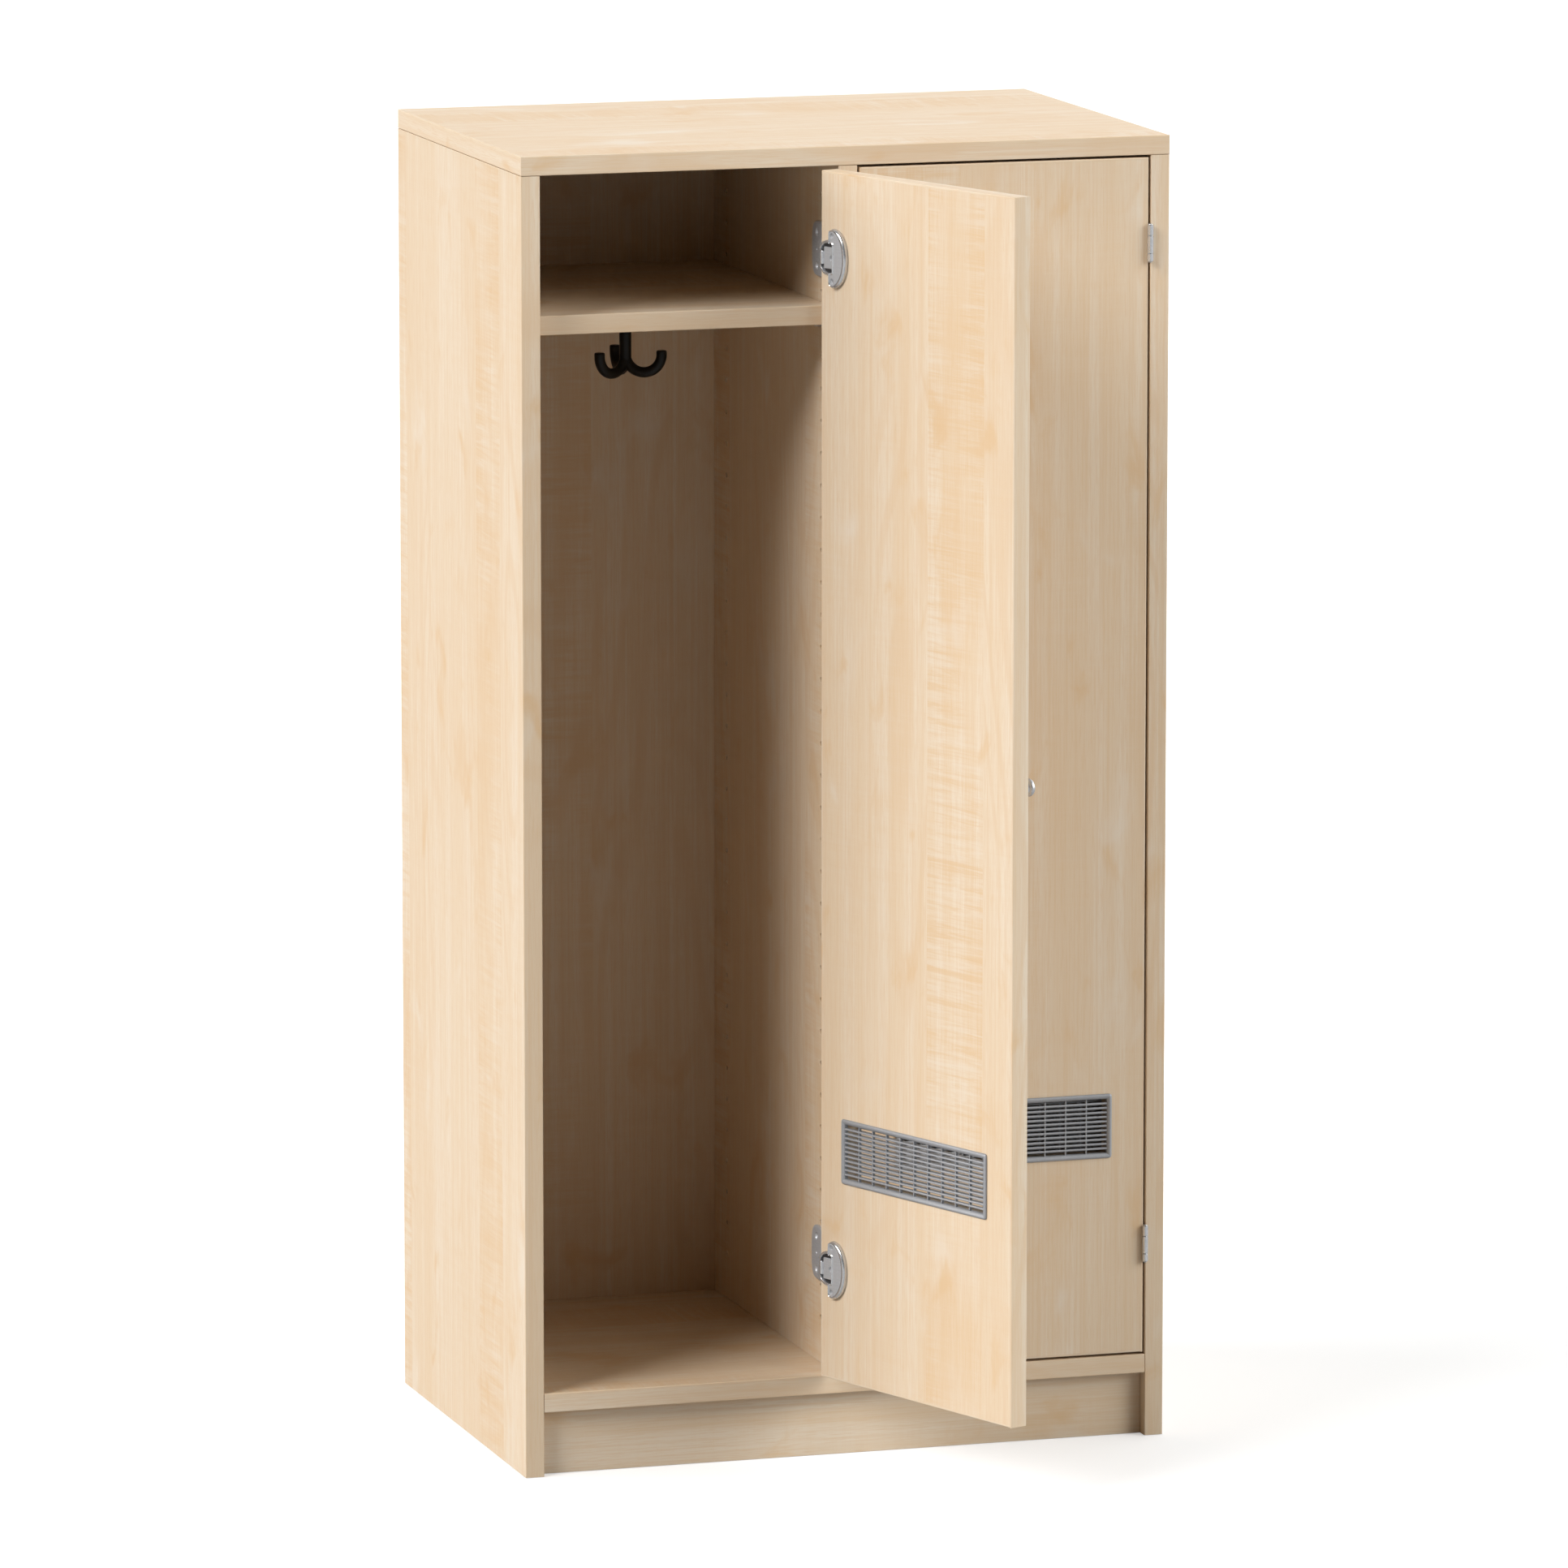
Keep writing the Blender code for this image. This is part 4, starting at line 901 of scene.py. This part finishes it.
def neck_shells():
    """The neck: a low foot whose outline is a rounded oval, a curved rail along its upper and its
    lower edge, the arm with its screw hole between them, and the roll over the door's edge, half a
    round bar. The oval: height = 17.6 (1 - |s|^2.5)^0.4, where s is the distance from its centre
    over 18.6, a little more than the foot's reach, so that the foot ends in a short straight side."""
    centre, reach, half = NECK_OVAL
    x = centre + reach * np.sin(np.linspace(-0.32, pi / 2, 18))
    height = half * (1 - np.abs((x - centre) / (reach + 1.2)) ** 2.5) ** 0.4
    edge = np.stack([x, height], -1)
    foot = np.concatenate([edge * [1, -1], edge[::-1]])
    # The foot takes the dark nickel: painted shade in the slots beside the arm.
    shells = [raised(foot, [(0.1, FACE), (0, FACE + 0.1), (0, FACE + 0.25), (0.15, FACE + 0.35)], PAINTED_SHADE)]
    wide, top = RAIL_HALF, FACE + 2.35
    section = [(wide, FACE + 0.2), (wide, top - 1.1), (wide - 0.2, top - 0.5), (wide - 0.6, top - 0.1)]
    section = np.array([*section, (0, top), *[(-offset, lift) for offset, lift in section[::-1]]])
    rail = (edge - (RAIL_HALF + 0.05) * left_of(np.gradient(edge, axis=0)))[:-1]
    shells += [ridge(rail, section), ridge(rail * [1, -1], section)]
    arm = rounded_outline((-25.0, -10.5), (-8.3, 10.5), 0.6)
    steps = [(0, FACE + 0.3), (0, FACE + 1.7), (0.15, FACE + 2.05), (0.4, FACE + 2.2)]
    shells.append(raised(arm, steps, SATIN, (True, False)))
    shells.append(plate_face(inset_loop(arm, 0.4), FACE + 2.2, [(*ARM_HOLE, ARM_HOLE_SIZE)]))
    shells = [aimed(shell, UP_THE_WALL) for shell in shells]
    angle = np.linspace(0, pi, 17)
    roll = np.array([0, 1]) + 3.2 * np.stack([np.cos(angle), np.sin(angle)], -1)
    roll = np.concatenate([roll, [(-3.2, 0.0), (3.2, 0.0)]])
    levels = np.array([-6.5, -6.4, -6.1, 6.1, 6.4, 6.5])
    shrink = np.array([0.86, 0.95, 1, 1, 0.95, 0.86])
    grid = np.zeros((len(levels), len(roll), 3))
    grid[:, :, 0] = -5.5 + roll[:, 0] * shrink[:, None]
    grid[:, :, 1] = FACE + roll[:, 1] * shrink[:, None]
    grid[:, :, 2] = levels[:, None]
    shells.append(skin(grid * MM, POLISHED))
    return shells


def strap_shells():
    """The sheet along the door's edge: a bend over the corner, an outer and an inner arc, then a flat
    run to the barrel, with room left for the frame's knuckle."""
    angle = np.linspace(0, pi / 2, 7)
    round_out = np.array([-2.6, 22.1]) + 2.35 * np.stack([np.cos(angle), np.sin(angle)], -1)
    round_in = [(-4.4, 24.4), (-4.4, 22.6), (-1.6, 22.45), (-0.95, 21.4), (-0.95, 20.0), (-0.25, 20.0)]
    bend = np.concatenate([round_out, round_in])
    shells = [skin(carried(bend * MM, (-7 * MM, 7 * MM), 2), POLISHED)]
    run = block((-0.95 * MM, 3.6 * MM, -18 * MM), (-0.25 * MM, 21 * MM, 18 * MM), 0.12 * MM)
    shells.append(run)
    for low, high in ((-BARREL_END, KNUCKLE[0] - PLAY), (KNUCKLE[1] + PLAY, BARREL_END)):
        tab = (-0.95 * MM, 0.8 * MM, low * MM), (-0.25 * MM, 3.9 * MM, high * MM)
        shells.append(block(*tab, 0.12 * MM))
        shells.append(knuckle(low, high))
    return shells


def frame_shells():
    """The frame side: a plate with a bulging back edge and countersunk holes, its edge rolled over
    in small steps, and a sheet from it to the middle knuckle. The back edge is a squared oval: depth
    60 + 18 cos(t)^0.62 and height 27 sin(t)^0.62, with t from a quarter turn down to one up."""
    turn = np.linspace(-pi / 2, pi / 2, 25)
    centre, reach, half = FRAME_OVAL
    height = half * np.sign(turn) * np.abs(np.sin(turn)) ** 0.62
    bulge = np.stack([centre + reach * np.cos(turn) ** 0.62, height], -1)
    corner = np.array([(34, 27), (32, 26.46), (30.54, 25), (30, 23)])
    outline = np.concatenate([bulge, corner, [(30, 16.5), (30, 0), (30, -16.5)], corner[::-1] * [1, -1]])
    outline = outline - [0, FRAME_DROP]
    steps = [(0.2, 0), (0, 0.2), (0, 2.4), (0.3, 3.1), (0.9, 3.65), (1.8, 3.95), (2.6, FRAME_THICKNESS)]
    depth, up = FRAME_HOLE
    holes = [(up, FRAME_HOLE_SIZE), (0.0, 0.5), (-up, FRAME_HOLE_SIZE)]
    holes = [(depth, level - FRAME_DROP, size) for level, size in holes]
    face = plate_face(inset_loop(outline, 2.6), FRAME_THICKNESS, holes)
    shells = [raised(outline, steps, SATIN, (True, False)), face]
    shells = [aimed(shell, OUT_OF_FRAME, (FRAME_FOOT * MM, 0, 0)) for shell in shells]
    sheet = (0.25 * MM, 0.5 * MM, KNUCKLE[0] * MM), (0.9 * MM, 31 * MM, KNUCKLE[1] * MM)
    shells.append(block(*sheet, 0.12 * MM))
    shells.append(knuckle(*KNUCKLE))
    return shells


def screw(head, axes, spot):
    """A countersunk screw, its head's top at a spot and facing along the third of the axes. The head
    is a round of rings whose height drops inside a cross-shaped recess; the rest is turned below."""
    radius = np.array([0.2, 0.5, 0.75, 1.0, 1.25, 1.5, 1.7, 1.9, head - 0.25, head - 0.05])
    angle = 2 * pi * np.arange(40) / 40
    wave = np.cos(angle), np.sin(angle)
    x, y = radius[:, None] * wave[0], radius[:, None] * wave[1]
    arm = np.clip((0.62 - np.minimum(np.abs(x), np.abs(y))) / 0.25, 0, 1)
    reach = np.clip((1.85 - radius) / 0.5, 0, 1)[:, None]
    top = np.stack([x, y, -1.1 * arm * reach], -1)
    rest = np.array([(head, -0.08), (head, -0.25), (1.5, -1.9), (1.5, -12.5), (0.7, -14.5), (0.2, -14.9)])
    lower = np.stack([rest[:, :1] * wave[0], rest[:, :1] * wave[1], rest[:, 1:] + 0 * angle], -1)
    return aimed(skin(np.concatenate([top, lower]) * MM), axes, np.array(spot) * MM)


UP_THE_WALL = ((1, 0, 0), (0, 0, 1), (0, 1, 0))
OUT_OF_FRAME = ((0, 1, 0), (0, 0, 1), (-1, 0, 0))
metals = [SATIN_COVER, POLISHED_NICKEL, PAINTED_SHADE_NICKEL]
pin_head = [(0.2, 19.35), (1.2, 19.25), (1.9, 18.95), (2.2, 18.55), (2.2, 18.3)]
pin_turning = [*pin_head, (PIN, 18.3), (PIN, -18.3), *[(r, -z) for r, z in pin_head[::-1]]]
leaf_shells = [aimed(shell, UP_THE_WALL) for shell in cover_shells()] + neck_shells() + strap_shells()
plate_shells = frame_shells()
for side, pivot_x in PIVOTS.items():
    for level, height in HINGES.items():
        fixed = (0.0, (pivot_x, PIVOT_Y, height))
        moving = (OPEN[side], (pivot_x, PIVOT_Y, height))
        name = f"{side}_{level}"
        door = f"{side}_door"
        replaced = (f"{name}_door_leaf",)
        make_piece(f"{name}_hinge_cover", door, metals, leaf_shells, replaced, moving)
        replaced = (f"{name}_frame_leaf",)
        plate = f"{name}_frame_plate"
        make_piece(plate, "carcass", metals, plate_shells, replaced, fixed)
        nickel_part(f"{name}_pin", "carcass", turned(pin_turning, 32), (f"{name}_hinge_pin",), fixed)
        for number, sign in enumerate((1, -1), 1):
            shell = screw(2.1, UP_THE_WALL, (COVER_HOLE[0], FACE + 2.3, sign * COVER_HOLE[1]))
            replaced = (f"{name}_door_screw_{number}",)
            nickel_part(f"{name}_cover_screw_{number}", door, shell, replaced, moving)
            spot = (FRAME_FOOT - 2.6, FRAME_HOLE[0], sign * FRAME_HOLE[1] - FRAME_DROP)
            shell = screw(2.5, OUT_OF_FRAME, spot)
            replaced = (f"{name}_frame_screw_{number}",)
            nickel_part(f"{name}_plate_screw_{number}", "carcass", shell, replaced, fixed)
        shell = screw(2.1, UP_THE_WALL, (ARM_HOLE[0], FACE + 0.9, ARM_HOLE[1]))
        nickel_part(f"{name}_arm_screw", door, shell, (), moving)


# Stage: a plain pale floor, soft suns high on the left and low on the right, a dim surround that
# is brighter on the right and behind, and the camera far off to the front left with a long lens.
FLOOR_REACH = 40.0
FLOOR_DROP = 0.5 * MM
floor_mesh = bpy.data.meshes.new("floor")
corners = np.array([(-1, -1), (1, -1), (1, 1), (-1, 1)]) * FLOOR_REACH
floor_mesh.from_pydata([(x, y, -FLOOR_DROP) for x, y in corners.tolist()], [], [(0, 1, 2, 3)])
floor_material, floor_tree, floor_shader = new_material("pale_floor", Roughness=0.9)
seen = node(floor_tree, "ShaderNodeLightPath").outputs["Is Camera Ray"]
floor_tint = tinted(floor_tree, seen, (0.38, 0.38, 0.38, 1), (0.62, 0.62, 0.62, 1))
floor_tree.links.new(floor_tint, floor_shader.inputs["Base Color"])
floor_shader.inputs["Emission Color"].default_value = (1, 1, 1, 1)
floor_glow = combine(floor_tree, "MULTIPLY", seen, 0.42)
floor_tree.links.new(floor_glow, floor_shader.inputs["Emission Strength"])
floor_mesh.materials.append(floor_material)
floor = bpy.data.objects.new("floor", floor_mesh)
bpy.context.scene.collection.objects.link(floor)
floor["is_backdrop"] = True

LIGHT = 1.14                # strength of all the light together
world = bpy.data.worlds.new("studio")
bpy.context.scene.world = world
world.use_nodes = True
sky = world.node_tree
sky.nodes.clear()
toward = node(sky, "ShaderNodeTexCoord").outputs["Generated"]
toward = node(sky, "ShaderNodeSeparateXYZ", {"Vector": toward})
glow = 0.0
for axis, strength in (("X", 1.22), ("Y", 0.55)):
    facing = combine(sky, "MAXIMUM", toward.outputs[axis], 0.0)
    glow = combine(sky, "ADD", glow, combine(sky, "MULTIPLY", facing, strength * LIGHT))
around = node(sky, "ShaderNodeBackground", {"Color": (1, 1, 1, 1), "Strength": glow})
behind = node(sky, "ShaderNodeBackground", {"Color": (1, 1, 1, 1), "Strength": 1.0})
seen = node(sky, "ShaderNodeLightPath").outputs["Is Camera Ray"]
chosen = node(sky, "ShaderNodeMixShader", {0: seen, 1: around.outputs[0], 2: behind.outputs[0]})
node(sky, "ShaderNodeOutputWorld", {"Surface": chosen.outputs[0]})


def soft_sun(name, direction, spread, strength, tint=(1.0, 1.0, 1.0)):
    """A sun seen from the given direction, its disc as wide as the spread. Its strength is that of
    the light a white board facing it gives back."""
    data = bpy.data.lights.new(name, "SUN")
    data.angle = radians(spread)
    data.energy = pi * strength * LIGHT
    data.color = tint
    lamp = bpy.data.objects.new(name, data)
    bpy.context.scene.collection.objects.link(lamp)
    lamp.rotation_euler = Vector(direction).to_track_quat("Z", "Y").to_euler()


soft_sun("left_key", (-0.74, -0.32, 0.59), 30, 0.78)
soft_sun("left_side", (-0.92, 0.25, 0.33), 30, 0.44)
soft_sun("overhead", (0, 0, 1), 60, 0.02)
soft_sun("right_fill", (0.75, -0.50, 0.42), 40, 0.57, (0.95, 1.0, 1.03))

camera_data = bpy.data.cameras.new("camera")
camera_data.sensor_width = 36
camera_data.lens = 260.14
camera_data.clip_end = 100
camera = bpy.data.objects.new("camera", camera_data)
bpy.context.scene.collection.objects.link(camera)
camera.location = (-3.28643, -10.46283, 2.51287)
camera.rotation_euler = (radians(80.46308), 0.0, radians(-17.14757))
bpy.context.scene.camera = camera
bpy.context.scene.view_settings.view_transform = "Standard"

low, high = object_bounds()
